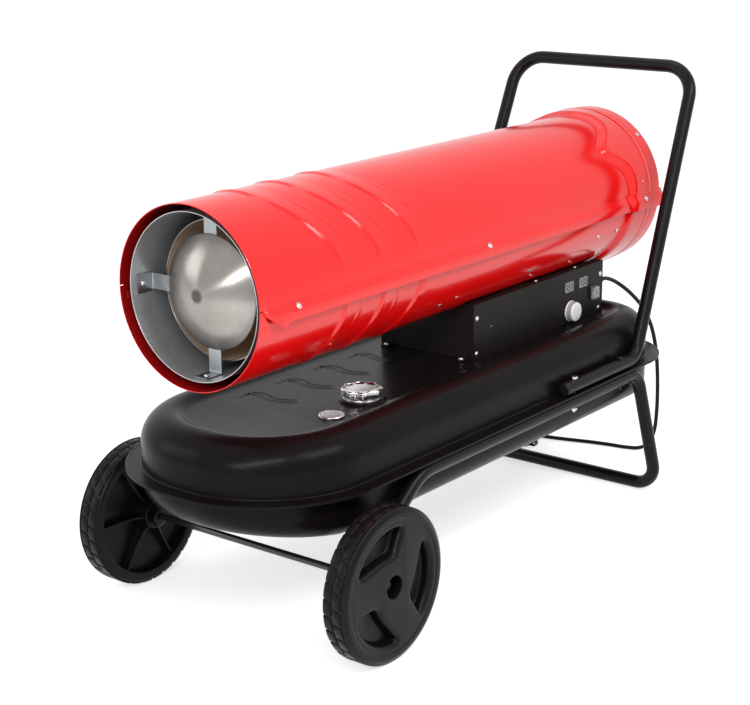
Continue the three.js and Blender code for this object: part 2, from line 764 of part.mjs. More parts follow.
function pumpBody() {
  const shell = turned([
    [SHAFT_R + GAP, PUMP_FRONT], [PUMP_R, PUMP_FRONT], [PUMP_R, PUMP_REAR], [ROTOR_R + 1, PUMP_REAR],
    [ROTOR_R + 1, PUMP_FRONT + PUMP_WALL], [SHAFT_R + GAP, PUMP_FRONT + PUMP_WALL],
  ]);
  const port = bar('z', LINE_R + 2, -PUMP_R - PORT_H, 10 - PUMP_R, [AIR_HOSE_X, airPortY()], SMALL);
  return joined(shell, cut(port, bar('y', ROTOR_R + 4, PUMP_FRONT, PUMP_REAR)));
}

function pumpRotor() {
  const rotor = turned(ring(SHAFT_R + GAP, ROTOR_R - 4, PUMP_FRONT + PUMP_WALL + 1, SHAFT_REAR));
  const vanes = QUARTERS.map((angle) =>
    radialBlock(angle, 3, ROTOR_R - 6, ROTOR_R - 0.5, PUMP_FRONT + PUMP_WALL + 1, SHAFT_REAR));
  return joined(rotor, ...vanes);
}

function pumpCover() {
  const mid = COVER_FRONT + COVER_L;
  return turned([
    [0, COVER_FRONT], [PUMP_R, COVER_FRONT], [PUMP_R, mid], [FILTER_R, mid],
    [FILTER_R, mid + FILTER_L - 5], [FILTER_R - 5, mid + FILTER_L], [0, mid + FILTER_L],
  ]);
}

function rearGuard() {
  const outer = (FLARE_R - SHEET) * Math.cos(Math.PI / ARC_STEPS / 2) - GAP;
  const wire = GUARD_WIRE / 2;
  const rim = turned(ring(outer - 2 * GUARD_WIRE, outer, GUARD_Y - wire, GUARD_Y + wire), 32);
  const rings = GUARD_RINGS.map((radius) =>
    turned(ring(radius - wire, radius + wire, GUARD_Y - wire, GUARD_Y + wire), 16));
  const spokes = Array.from({ length: GUARD_SPOKES / 2 }, (_, i) => {
    const angle = (Math.PI * i) / (GUARD_SPOKES / 2);
    return radialBlock(angle, GUARD_WIRE, GUARD_WIRE - outer, outer - GUARD_WIRE,
      GUARD_Y - wire, GUARD_Y + wire);
  });
  return joined(rim, ...rings, ...spokes);
}

// ---------------------------------------------------------------- tank

// Rounded outline of the tank at an inset from the flange edge.
function tankRing(inset, z) {
  const half = FLANGE_HALF - inset;
  const front = FLANGE_FRONT + inset;
  const rear = FLANGE_REAR - inset;
  const frontR = FLANGE_FRONT_R - inset;
  const rearR = Math.max(CORNER_LEAST, FLANGE_REAR_R - inset);
  const corner = (x, y, radius, start, steps) => Array.from({ length: steps + 1 }, (_, i) => {
    const angle = start + ((Math.PI / 2) * i) / steps;
    return at(x + radius * Math.cos(angle), y + radius * Math.sin(angle), z);
  });
  return [
    ...corner(half - frontR, front + frontR, frontR, -Math.PI / 2, FRONT_CORNER_STEPS),
    ...corner(half - rearR, rear - rearR, rearR, 0, REAR_CORNER_STEPS),
    ...corner(rearR - half, rear - rearR, rearR, Math.PI / 2, REAR_CORNER_STEPS),
    ...corner(frontR - half, front + frontR, frontR, Math.PI, FRONT_CORNER_STEPS),
  ];
}

// Pressed pan: wall, round shoulder and flat, from the wall's end to its far level.
function panProfile(level, shoulder, skin) {
  const away = Math.sign(level - FLANGE_Z);
  const steps = 3;
  const wallEnd = level - away * shoulder;
  const profile = [[PAN_INSET + skin, wallEnd]];
  for (let i = 1; i <= steps; i++) {
    const angle = ((Math.PI / 2) * i) / steps;
    const inset = PAN_INSET + skin + (shoulder - skin) * (1 - Math.cos(angle));
    profile.push([inset, wallEnd + away * (shoulder - skin) * Math.sin(angle)]);
  }
  return profile;
}

// middle: insets and levels of the rings inside the shoulder. slope: rise of the pan ahead of NOSE_Y, from its
// wall's end inwards.
function pan(level, shoulder, middle, slope = 0) {
  const away = Math.sign(level - FLANGE_Z);
  const flangeFace = FLANGE_Z + away * FLANGE_T;
  const lifted = (point) => point.setZ(point.z + slope * Math.max(0, NOSE_Y - point.y));
  const rings = (rim, skin) => loft([
    ...rim.map(([inset, z]) => tankRing(inset, z)),
    ...panProfile(level, shoulder, skin).map(([inset, z]) => tankRing(inset, z).map(lifted)),
    ...middle.map(([inset, z]) => tankRing(inset, z - away * skin).map(lifted)),
  ]);
  const outer = rings([[0, FLANGE_Z], [0, flangeFace], [PAN_INSET, flangeFace]], 0);
  const inner = rings([[PAN_INSET + SHEET, FLANGE_Z - away * 5]], SHEET);
  return cut(outer, inner);
}

function boltHoles() {
  return BOLT_YS.flatMap((y) => [-1, 1].map((side) =>
    bar('z', BOLT_R + GAP * 1.5, FRAME_Z - 2 * ROD_R, HANDLE_Z + 2 * ROD_R, [side * SIDE_X, y], BOLT_SIDES)));
}

function tankTop() {
  const pad = turnedUp([
    [0, PAN_TOP - SHEET / 2], [PAD_R + PAD_H, PAN_TOP - SHEET / 2], [PAD_R, PAD_TOP], [0, PAD_TOP],
  ], FILLER_X, FILLER_Y);
  const low = PAN_TOP - 10;
  const high = PAD_TOP + 10;
  const crest = CREST_RINGS.map(([inset, height]) => [inset, PAN_TOP + height]);
  return cut(joined(pan(PAN_TOP + PAN_CREST, PAN_SHOULDER, crest), pad),
    bar('z', NECK_R + 2 * GAP, low, high, [FILLER_X, FILLER_Y]),
    bar('z', GAUGE_CUP + 2 * GAP, low, high, [GAUGE_X, GAUGE_Y]),
    bar('z', PICKUP_R + 2 * GAP, low, high, FUEL_LINE_AT, SMALL),
    ...boltHoles());
}

function tankBottom() {
  const drain = bar('z', DRAIN_R - 3 + 2 * GAP, PAN_FLOOR - 5, PAN_FLOOR + 5, [0, DRAIN_Y], SMALL);
  const floor = FLOOR_RINGS.map((inset) => [inset, PAN_FLOOR]);
  return cut(pan(PAN_FLOOR, FLOOR_SHOULDER, floor, NOSE_SLOPE), drain, ...boltHoles());
}

function drainPlug() {
  const hex = bar('z', DRAIN_R, PAN_FLOOR - GAP - 7, PAN_FLOOR - GAP, [0, DRAIN_Y], 6);
  const thread = bar('z', DRAIN_R - 3, PAN_FLOOR - GAP - 1, PAN_FLOOR + 7, [0, DRAIN_Y], SMALL);
  return joined(hex, thread);
}

function fillerNeck() {
  const inner = NECK_R - NECK_WALL;
  const foot = PAD_TOP + GAP;
  return turnedUp([
    [inner, PAN_TOP - NECK_DROP], [NECK_R, PAN_TOP - NECK_DROP], [NECK_R, foot], [NECK_RIM + 2, foot],
    [NECK_RIM + 2, foot + SHEET], [NECK_RIM, NECK_TOP], [inner, NECK_TOP],
  ], FILLER_X, FILLER_Y);
}

function capGasket() {
  const profile = ring(NECK_R - NECK_WALL, NECK_RIM, GASKET_FOOT, GASKET_FOOT + GASKET_T);
  return turnedUp(profile, FILLER_X, FILLER_Y);
}

function fuelCap() {
  const count = CAP_LOBES * 5;
  const outline = (radius, lobe) => Array.from({ length: count }, (_, i) => {
    const angle = (2 * Math.PI * i) / count;
    const reach = radius + lobe * Math.cos(CAP_LOBES * angle);
    return at(FILLER_X + reach * Math.cos(angle), FILLER_Y + reach * Math.sin(angle), 0);
  });
  const levels = [[CAP_R - 3, 1.4, 0], [CAP_R, 1.8, 3], [CAP_R, 1.8, CAP_H - 2], [CAP_R - 3, 1.4, CAP_H]];
  const top = loft(levels.map(([radius, lobe, z]) =>
    outline(radius, lobe).map((point) => point.clone().setZ(CAP_FOOT + z))));
  const skirtR = NECK_R - NECK_WALL - 2 * GAP;
  const skirt = turnedUp(ring(skirtR - CAP_SKIRT_WALL, skirtR, CAP_FOOT - CAP_SKIRT, CAP_FOOT + 1),
    FILLER_X, FILLER_Y);
  const dish = bar('z', CAP_R - 8, CAP_FOOT + CAP_H - 2, CAP_FOOT + CAP_H + 1, [FILLER_X, FILLER_Y]);
  return cut(joined(top, skirt), dish);
}

// ---------------------------------------------------------------- fuel gauge

function gaugeBody() {
  const foot = PAN_TOP + GAP;
  const rim = foot + GAUGE_H;
  const dial = PAN_TOP - 2;
  const cup = turnedUp([
    [0, PAN_TOP - GAUGE_DEPTH], [GAUGE_CUP, PAN_TOP - GAUGE_DEPTH], [GAUGE_CUP, foot], [GAUGE_R, foot],
    [GAUGE_R - 1, rim], [GLASS_R + GAP, rim], [GLASS_R + GAP, rim - GLASS_T - GAP],
    [GAUGE_CUP - 1.5, rim - GLASS_T - GAP],
    [GAUGE_CUP - 1.5, dial], [0, dial],
  ], GAUGE_X, GAUGE_Y);
  const stem = block(GAUGE_X - 3, GAUGE_X + 3, GAUGE_Y - 5, GAUGE_Y + 5,
    FLOAT_PIVOT - 6, PAN_TOP - GAUGE_DEPTH + 1);
  const pinHole = bar('x', PIN_R + 2 * GAP, GAUGE_X - 8, GAUGE_X + 8, [GAUGE_Y, FLOAT_PIVOT], SMALL);
  return cut(joined(cup, stem), pinHole);
}

function gaugeLens() {
  const top = PAN_TOP + GAP + GAUGE_H;
  return turnedUp([[0, top - GLASS_T], [GLASS_R, top - GLASS_T], [GLASS_R, top], [0, top]], GAUGE_X, GAUGE_Y);
}

function gaugePointer() {
  const foot = PAN_TOP - 2 + GAP;
  const needle = polygon([[-3, -1.4], [POINTER_L, -0.5], [POINTER_L, 0.5], [-3, 1.4]]);
  const geometry = plate(needle, 0.8);
  geometry.translate(GAUGE_X, GAUGE_Y, foot);
  return joined(solid(geometry), bar('z', 2.5, foot, foot + 1.6, [GAUGE_X, GAUGE_Y], SMALL));
}

function floatArm() {
  const side = GAUGE_X - 7;
  const fall = THREE.MathUtils.degToRad(FLOAT_ANGLE);
  const end = [GAUGE_Y - FLOAT_ARM * Math.cos(fall), FLOAT_PIVOT + FLOAT_ARM * Math.sin(fall)];
  const pin = bar('x', PIN_R, side - 2, GAUGE_X + 6, [GAUGE_Y, FLOAT_PIVOT], SMALL);
  const arm = swept([at(side, GAUGE_Y, FLOAT_PIVOT), at(side, end[0], end[1])], PIN_R, 8);
  const float = bar('x', FLOAT_R, side - FLOAT_L / 2, side + FLOAT_L / 2, end, SMALL);
  return joined(pin, arm, float);
}

// ---------------------------------------------------------------- fuel and air lines

function fuelPickup() {
  const filterTop = PAN_FLOOR + 26;
  const inner = PICKUP_R - 2;
  return turnedUp([
    [0, PAN_FLOOR + 8], [PICKUP_FILTER_R, PAN_FLOOR + 8], [PICKUP_FILTER_R, filterTop], [PICKUP_R, filterTop],
    [PICKUP_R, PAN_TOP + GAP], [14, PAN_TOP + GAP], [14, PAN_TOP + GAP + 2], [PICKUP_R, PAN_TOP + GAP + 2],
    [PICKUP_R, PICKUP_TOP], [inner, PICKUP_TOP], [inner, filterTop], [0, filterTop],
  ], ...FUEL_LINE_AT, SMALL);
}

function fuelLine() {
  const [x, y] = FUEL_LINE_AT;
  const nozzleRear = CHAMBER_REAR - BURNER_DEPTH - 8 + NOZZLE_REACH;
  const corners = [
    at(x, y, PICKUP_TOP + GAP), at(x, y, TUBE_Z - LINE_SIDE),
    at(-LINE_SIDE, y - LINE_RUN, TUBE_Z - LINE_SIDE),
    at(-LINE_SIDE, nozzleRear + GAP, TUBE_Z - LINE_SIDE),
  ];
  return swept(bentStations(corners, [22, 22], 3), LINE_R, 8);
}

function airHose() {
  const nozzleRear = CHAMBER_REAR - BURNER_DEPTH - 8 + NOZZLE_REACH;
  const front = FUEL_LINE_AT[1];
  const end = TUBE_Z + LINE_SIDE;
  const corners = [
    at(AIR_HOSE_X, airPortY(), TUBE_Z - PUMP_R - PORT_H - GAP), at(AIR_HOSE_X, airPortY(), HOSE_LEVEL),
    at(AIR_HOSE_X, front, HOSE_LEVEL), at(AIR_HOSE_X, front, end),
    at(LINE_SIDE + 1, front - LINE_RUN, end), at(LINE_SIDE + 1, nozzleRear + GAP, end),
  ];
  return swept(bentStations(corners, [20, 20, 22, 22], 3), LINE_R, 8);
}

// ---------------------------------------------------------------- control box

function controlBox() {
  const floor = BOX_FLOOR;
  const right = PANEL_X - GAP;
  const shell = cut(
    block(-BOX_HALF, right, BOX_FRONT, BOX_REAR, floor, BOX_TOP),
    block(-BOX_HALF + SHEET, right + 1, BOX_FRONT + SHEET, BOX_REAR - SHEET, floor + SHEET, BOX_TOP + 1),
  );
  const lipTop = BOX_TOP - 4 * SHEET;
  const lips = [
    block(right - SHEET, right, BOX_FRONT + SHEET / 2, BOX_FRONT + BOX_LIP, floor + SHEET / 2, lipTop),
    block(right - SHEET, right, BOX_REAR - BOX_LIP, BOX_REAR - SHEET / 2, floor + SHEET / 2, lipTop),
    block(-BOX_HALF + SHEET / 2, PANEL_RETURN - BOX_HALF, BOX_FRONT + SHEET / 2, BOX_REAR - SHEET / 2,
      BOX_TOP - SHEET, BOX_TOP),
  ];
  return cut(joined(shell, ...lips),
    bar('y', TUBE_R + 2 * GAP, BOX_FRONT - 5, BOX_REAR + 5, [0, TUBE_Z], 48),
    bar('y', TUBE_R + growth(BOX_REAR) + 2 * GAP, FLARE_START, BOX_REAR + 1, [0, TUBE_Z], 48),
    bar('y', 8 + 2 * GAP, BOX_REAR - 5, BOX_REAR + 5, [GLAND_X, GLAND_Z], SMALL),
    bar('z', 16, floor - 5, floor + 5, FUEL_LINE_AT, SMALL));
}

function sidePanel() {
  const inner = PANEL_X;
  const face = block(inner, BOX_HALF, BOX_FRONT, BOX_REAR, BOX_FLOOR, BOX_TOP);
  const turnIn = block(BOX_HALF - PANEL_RETURN, BOX_HALF, BOX_FRONT + 2 * SHEET, BOX_REAR - 2 * SHEET,
    BOX_TOP - SHEET, BOX_TOP);
  const tube = bar('y', TUBE_R + 3, BOX_FRONT - 5, BOX_REAR + 5, [0, TUBE_Z], 48);
  const windows = DISPLAY_YS.map((y) => block(inner - 1, BOX_HALF + 1,
    y - DISPLAY_W / 2 - GAP, y + DISPLAY_W / 2 + GAP,
    DISPLAY_Z - DISPLAY_H / 2 - GAP, DISPLAY_Z + DISPLAY_H / 2 + GAP));
  const switchHole = block(inner - 1, BOX_HALF + 1,
    SWITCH_Y - switchBody()[0] - GAP, SWITCH_Y + switchBody()[0] + GAP,
    SWITCH_Z - switchBody()[1] - GAP, SWITCH_Z + switchBody()[1] + GAP);
  return cut(joined(face, turnIn), tube, ...windows, switchHole,
    bar('x', STEM_R + 1, inner - 1, BOX_HALF + 1, [KNOB_Y, KNOB_Z], SMALL));
}

function thermostat() {
  const front = PANEL_X - GAP;
  return cut(
    bar('x', THERMO_R, front - THERMO_L, front, [KNOB_Y, KNOB_Z], ROUND),
    bar('x', STEM_R + 2 * GAP, front - 12, front + 1, [KNOB_Y, KNOB_Z], SMALL),
  );
}

function thermostatKnob() {
  const count = KNOB_FLUTES * 2;
  const outline = (radius, flute, x) => Array.from({ length: count }, (_, i) => {
    const angle = (2 * Math.PI * i) / count;
    const reach = radius - (i % 2) * flute;
    return at(reach * Math.cos(angle), reach * Math.sin(angle), x);
  });
  const cap = loft([
    outline(KNOB_R, 0.8, 0), outline(KNOB_R - 1, 0.8, KNOB_H - 2), outline(KNOB_R - 3, 0.2, KNOB_H),
  ]);
  const stem = bar('z', STEM_R, -PANEL_X + BOX_HALF - 13, 1, [0, 0], SMALL);
  const mark = block(KNOB_R - 12, KNOB_R - 4, -0.8, 0.8, KNOB_H - 0.8, KNOB_H + 1);
  return cut(joined(cap, stem), mark);
}

function switchBody() {
  return [SWITCH_W / 2 - SWITCH_RIM, SWITCH_H / 2 - SWITCH_RIM];
}

const ROCKER_X = BOX_HALF + 1;

function rockerHousing() {
  const [halfW, halfH] = switchBody();
  const rim = BOX_HALF + GAP;
  const back = PANEL_X - 18;
  const wallW = ROCKER_W / 2 + 0.8;
  const wallH = ROCKER_HALF + 1.4;
  const pocketFloor = ROCKER_X - 9;
  return cut(
    joined(
      block(back, rim + SWITCH_RIM, SWITCH_Y - halfW, SWITCH_Y + halfW, SWITCH_Z - halfH, SWITCH_Z + halfH),
      block(rim, rim + SWITCH_RIM, SWITCH_Y - SWITCH_W / 2, SWITCH_Y + SWITCH_W / 2,
        SWITCH_Z - SWITCH_H / 2, SWITCH_Z + SWITCH_H / 2),
    ),
    block(pocketFloor, rim + SWITCH_RIM + 1,
      SWITCH_Y - wallW, SWITCH_Y + wallW, SWITCH_Z - wallH, SWITCH_Z + wallH),
  );
}

function rocker() {
  const edge = ROCKER_HALF;
  const side = polygon([[-7, 0], [-1, -edge + 1], [5, -edge], [3, 0], [5, edge], [-1, edge - 1]]);
  const geometry = plate(side, ROCKER_W);
  geometry.translate(0, 0, -ROCKER_W / 2);
  geometry.rotateX(Math.PI / 2);
  geometry.rotateY(THREE.MathUtils.degToRad(ROCKER_REST));
  return solid(geometry);
}

function display(y) {
  return block(BOARD_X + BOARD_T + GAP, BOX_HALF + 0.5, y - DISPLAY_W / 2, y + DISPLAY_W / 2,
    DISPLAY_Z - DISPLAY_H / 2, DISPLAY_Z + DISPLAY_H / 2);
}

function circuitBoard() {
  const sheet = block(BOARD_X, BOARD_X + BOARD_T, BOARD_YS[0] - 8, BOARD_YS[1] + 8,
    BOARD_ZS[0] - 5, BOARD_ZS[1] + 5);
  const posts = BOARD_YS.flatMap((y) =>
    BOARD_ZS.map((z) => bar('x', POST_R, BOARD_X + 1, PANEL_X - GAP, [y, z], 8)));
  const tube = bar('y', TUBE_R + 3, BOX_FRONT, BOX_REAR, [0, TUBE_Z], 48);
  return cut(joined(sheet, ...posts), tube);
}

function transformer() {
  const [wide, deep, tall] = TRANSFORMER;
  const [x, y] = TRANSFORMER_AT;
  const foot = BOX_FLOOR + SHEET + GAP;
  return joined(
    block(x - wide / 2, x + wide / 2, y - deep / 2, y + deep / 2, foot, foot + 4),
    block(x - wide / 2 + 6, x + wide / 2 - 6, y - deep / 2 + 8, y + deep / 2 - 8, foot + 2, foot + tall),
  );
}

function cableGland() {
  const hole = CORD_R - 0.5;
  const inside = BOX_REAR - SHEET - GAP;
  const outside = BOX_REAR + GAP;
  const end = GLAND_END;
  const profile = [
    [hole, inside - 5], [GLAND_R, inside - 5], [GLAND_R, inside], [8, inside],
    [8, outside], [GLAND_R, outside],
    [GLAND_R, outside + 6], [9, outside + 8], [7, end], [0, end], [0, end - 2], [hole, end - 2],
  ];
  const geometry = turnedGeometry(profile, SMALL);
  geometry.translate(GLAND_X, 0, GLAND_Z);
  return solid(geometry);
}

// ---------------------------------------------------------------- handle, frame, axle, wheels

function mirroredRun(corners) {
  return [...corners, ...corners.map((point) => at(-point.x, point.y, point.z)).reverse()];
}

function handle() {
  const corners = mirroredRun([
    at(SIDE_X, HANDLE_END_Y, HANDLE_Z), at(SIDE_X, HANDLE_FOOT_Y, HANDLE_Z),
    at(HANDLE_TOP_X, HANDLE_TOP_Y, HANDLE_TOP_Z),
  ]);
  const radii = [HANDLE_FOOT_BEND, HANDLE_TOP_BEND, HANDLE_TOP_BEND, HANDLE_FOOT_BEND];
  const stations = bentStations(corners, radii, BEND_STEPS);
  return cut(swept(stations, ROD_CORNER, ROD_SIDES, ROD_WALL), ...boltHoles());
}

function frame() {
  const hub = at(SIDE_X, AXLE_Y, AXLE_Z);
  const bend = at(SIDE_X, FRAME_FRONT_Y, FRAME_Z);
  const slope = bend.clone().sub(hub).normalize();
  const corners = mirroredRun([
    hub.clone().addScaledVector(slope, TONGUE_REACH), bend, at(SIDE_X, FRAME_REAR_Y, FRAME_Z),
    at(LEG_X, LEG_Y, FLOOR_BAR_Z),
  ]);
  const bends = [FRAME_FRONT_BEND, FRAME_REAR_BEND, FLOOR_BEND];
  const radii = [...bends, ...bends.toReversed()];
  const tongues = [-1, 1].map((side) => {
    const root = TONGUE_REACH + TONGUE_T;
    const geometry = new THREE.BoxGeometry(TONGUE_T, TONGUE_END + root, TONGUE_W);
    geometry.translate(0, (root - TONGUE_END) / 2, 0);
    geometry.rotateX(Math.atan2(slope.z, slope.y));
    geometry.translate(side * SIDE_X, AXLE_Y, AXLE_Z);
    return solid(geometry);
  });
  return cut(
    joined(swept(bentStations(corners, radii, BEND_STEPS), ROD_CORNER, ROD_SIDES, ROD_WALL), ...tongues),
    bar('x', AXLE_R + GAP, -LEG_X, LEG_X, [AXLE_Y, AXLE_Z], SMALL),
    block(-2 * LEG_X, 2 * LEG_X, 0, 2 * LEG_Y, -5, 0),
    ...boltHoles(),
  );
}

function handleBolt(side, y) {
  const top = HANDLE_Z + ROD_CORNER + GAP;
  const foot = FRAME_Z - ROD_CORNER - GAP;
  const place = [side * SIDE_X, y];
  return joined(
    bar('z', BOLT_R, foot - BOLT_HEAD_H - 3, top + 1, place, BOLT_SIDES),
    bar('z', BOLT_HEAD_R, top, top + BOLT_HEAD_H, place, 6),
    bar('z', BOLT_HEAD_R, foot - BOLT_HEAD_H, foot, place, 6),
  );
}

function axle() {
  return bar('x', AXLE_R, -AXLE_HALF, AXLE_HALF, [AXLE_Y, AXLE_Z], SMALL);
}

// Teardrop pocket between two sweeping spokes, drawn on the wheel's face.
function pocketShape(turn) {
  const polar = (radius, degrees) => {
    const angle = THREE.MathUtils.degToRad(degrees + POCKET_TURN) + turn;
    return [radius * Math.cos(angle), radius * Math.sin(angle)];
  };
  const shape = new THREE.Shape();
  shape.moveTo(...polar(POCKET_R, 0));
  for (let i = 1; i <= 4; i++) shape.lineTo(...polar(POCKET_R, i * 21.5));
  shape.quadraticCurveTo(...polar(66, 66), ...polar(52, 36));
  shape.quadraticCurveTo(...polar(42, 10), ...polar(62, 7));
  shape.quadraticCurveTo(...polar(80, 4), ...polar(POCKET_R, 0));
  return shape;
}

function ribPocketShape(turn) {
  const inner = RIB_INNER;
  const outer = POCKET_R + 6;
  const span = Math.PI / RIB_COUNT;
  const edge = (radius) => span - Math.asin(RIB_T / 2 / radius);
  const points = [];
  for (let i = 0; i <= 4; i++) points.push([outer, -edge(outer) + (2 * edge(outer) * i) / 4]);
  for (let i = 0; i <= 2; i++) points.push([inner, edge(inner) - (2 * edge(inner) * i) / 2]);
  const corner = ([radius, angle]) => [radius * Math.cos(angle + turn), radius * Math.sin(angle + turn)];
  return polygon(points.map(corner));
}

// One wheel, with its axis along local Z and its outer face at WHEEL_T.
function wheel() {
  const lug = (2 * Math.PI) / LUGS;
  const tread = Array.from({ length: LUGS }, (_, i) => [
    [WHEEL_R, i * lug], [WHEEL_R, (i + 0.62) * lug],
    [WHEEL_R - LUG_H, (i + 0.66) * lug], [WHEEL_R - LUG_H, (i + 0.96) * lug],
  ]).flat();
  const body = solid(plate(polygon(tread.map(([r, a]) => [r * Math.cos(a), r * Math.sin(a)])), WHEEL_T));
  const cutOut = (shape, from, to) => {
    const settings = { depth: to - from, bevelEnabled: false, curveSegments: 3 };
    const geometry = new THREE.ExtrudeGeometry(shape, settings);
    geometry.translate(0, 0, from);
    return solid(geometry);
  };
  const thirds = [0, 1, 2].map((i) => (2 * Math.PI * i) / 3);
  const sixths = Array.from({ length: RIB_COUNT }, (_, i) => (2 * Math.PI * i) / RIB_COUNT);
  return cut(
    joined(body, bar('z', WHEEL_BOSS_R, -WHEEL_BOSS, 1)),
    bar('z', AXLE_R + GAP * 1.5, -WHEEL_BOSS - 1, WHEEL_T + 1, [0, 0], SMALL),
    bar('z', HOLE_R, WHEEL_T - HOLE_DEPTH, WHEEL_T + 1),
    ...thirds.map((turn) => cutOut(pocketShape(turn), WHEEL_T - POCKET_DEPTH, WHEEL_T + 1)),
    ...sixths.map((turn) => cutOut(ribPocketShape(turn), -1, RIB_DEPTH)),
  );
}

function wheelClip(side) {
  const floor = WHEEL_FACE - HOLE_DEPTH + GAP;
  const collar = bar('x', CLIP_R, side > 0 ? floor : -floor - CLIP_T, side > 0 ? floor + CLIP_T : -floor,
    [AXLE_Y, AXLE_Z], SMALL);
  return cut(collar, bar('x', AXLE_R + GAP, -AXLE_HALF, AXLE_HALF, [AXLE_Y, AXLE_Z], SMALL));
}

// ---------------------------------------------------------------- power cord

const COIL_Z = CORD_R + TIE_T + GAP;
const COIL_ENTRY = [COIL_X + 2 * CORD_R, COIL_Y + COIL_R];
const PLUG_X = COIL_X - 42;      // where the cord enters the plug

// The route of the free stretch: down from the gland, then over the floor to the coil. The fall is given from
// the gland's end, with its height as a share of the gland's, and the rest from the coil's entry.
const FALL = [
  [0, 8, 1], [0.3, 18.7, 0.9963], [3, 36.7, 0.9801], [9, 59.7, 0.9467],
  [18, 84.7, 0.8958], [29, 110.7, 0.8238],
  [38, 131.7, 0.7345], [44, 145.7, 0.6253], [47, 153.7, 0.5012], [48, 157.7, 0.3722], [47, 159.7, 0.2432],
  [43, 159.7, 0.134], [32, 158.7, 0.0571],
];
const FLOOR_RUN = [
  [240, 50, 8.4], [210, 46, 4.5], [172, 40, 4.4], [132, 31, 4.4], [92, 19, 4.4], [54, 8, 4.6], [26, 1.5, 5.1],
  [8.3, 0, COIL_Z],
];

function cordRoute() {
  const fall = FALL.map(([x, y, share]) => at(GLAND_X + x, GLAND_END + GAP + y, GLAND_Z * share));
  return [...fall, ...FLOOR_RUN.map(([x, y, z]) => at(COIL_ENTRY[0] + x, COIL_ENTRY[1] + y, z))];
}

function cordLead() {
  const curve = new THREE.CatmullRomCurve3(cordRoute(), false, 'centripetal');
  const stations = [
    at(GLAND_X, GLAND_END + GAP, GLAND_Z),
    ...curve.getSpacedPoints(CORD_STEPS),
    at(COIL_ENTRY[0] + GAP, COIL_ENTRY[1], COIL_Z),
  ];
  return swept(stations, CORD_R, CORD_SIDES);
}

// Turns of the coil: in on the floor layer, up in the half turn where the spiral reverses, and out on top.
function coilStations() {
  const steps = COIL_TURNS * COIL_STEPS;
  const middle = COIL_TURNS / 2;
  const stations = [at(...COIL_ENTRY, COIL_Z)];
  for (let i = 0; i <= steps; i++) {
    const turn = i / COIL_STEPS;
    const radius = COIL_R - COIL_PITCH * (middle - Math.abs(turn - middle));
    const rise = THREE.MathUtils.smoothstep(turn, middle - 0.25, middle + 0.25);
    const angle = Math.PI / 2 + 2 * Math.PI * turn;
    const z = COIL_Z + rise * COIL_CLIMB;
    stations.push(at(COIL_X + radius * Math.cos(angle), COIL_Y + radius * Math.sin(angle), z));
  }
  const top = COIL_Z + COIL_CLIMB;
  const y = COIL_Y + COIL_R;
  stations.push(at(COIL_X - 12, y + 0.6, top), at(COIL_X - 24, y + 1, (top + PLUG_R) / 2 + 1));
  stations.push(at(PLUG_X + GAP + 2 * CORD_R, y + 1, PLUG_R + 0.5), at(PLUG_X + GAP, y + 1, PLUG_R + 0.5));
  return stations;
}

// Least clear distance between parts of the cord that lie a turn or so apart.
function leastGap(stations, radius) {
  let least = Infinity;
  const apart = COIL_STEPS / 3;
  for (let i = 0; i < stations.length; i++) {
    for (let j = i + apart; j + 1 < stations.length; j++) {
      const segment = new THREE.Line3(stations[j], stations[j + 1]);
      const near = segment.closestPointToPoint(stations[i], true, new THREE.Vector3());
      least = Math.min(least, near.distanceTo(stations[i]) - 2 * radius);
    }
  }
  return least;
}

function cordCoil() {
  const stations = coilStations();
  console.log(`cord coil: least gap to itself ${leastGap(stations, CORD_R).toFixed(2)} mm`);
  return swept(stations, CORD_R, 6);
}

// Flat tie round the bundle, at the side of the coil away from the plug.
function cordTie() {
  const inner = COIL_R - COIL_PITCH * COIL_TURNS / 2 - CORD_R - 1;
  const outer = COIL_R + CORD_R + 1;
  const top = COIL_Z + COIL_CLIMB + CORD_R + GAP;
  const y0 = COIL_Y - TIE_W / 2;
  return cut(
    block(COIL_X + inner - TIE_T, COIL_X + outer + TIE_T, y0, y0 + TIE_W, 0, top + TIE_T),
    block(COIL_X + inner, COIL_X + outer, y0 - 1, y0 + TIE_W + 1, TIE_T, top),
  );
}

function plug() {
  const z = PLUG_R + 0.5;
  const y = COIL_Y + COIL_R + 1;
  const geometry = turnedGeometry([
    [0, 0], [7, 0], [9, PLUG_NECK - 6], [PLUG_R - 2, PLUG_NECK],
    [PLUG_R, PLUG_NECK + 6], [PLUG_R, PLUG_NECK + PLUG_L],
    [0, PLUG_NECK + PLUG_L],
  ], ROUND);
  geometry.rotateZ(Math.PI / 2);
  geometry.translate(PLUG_X, y, z);
  const face = PLUG_X - PLUG_NECK - PLUG_L;
  const prongs = [-1, 1].map((side) =>
    bar('x', PRONG_R, face - PRONG_L, face + 2, [y, z + side * PRONG_SPREAD], SMALL));
  return joined(solid(geometry), ...prongs);
}

// ---------------------------------------------------------------- assembly

const heater = new THREE.Group();

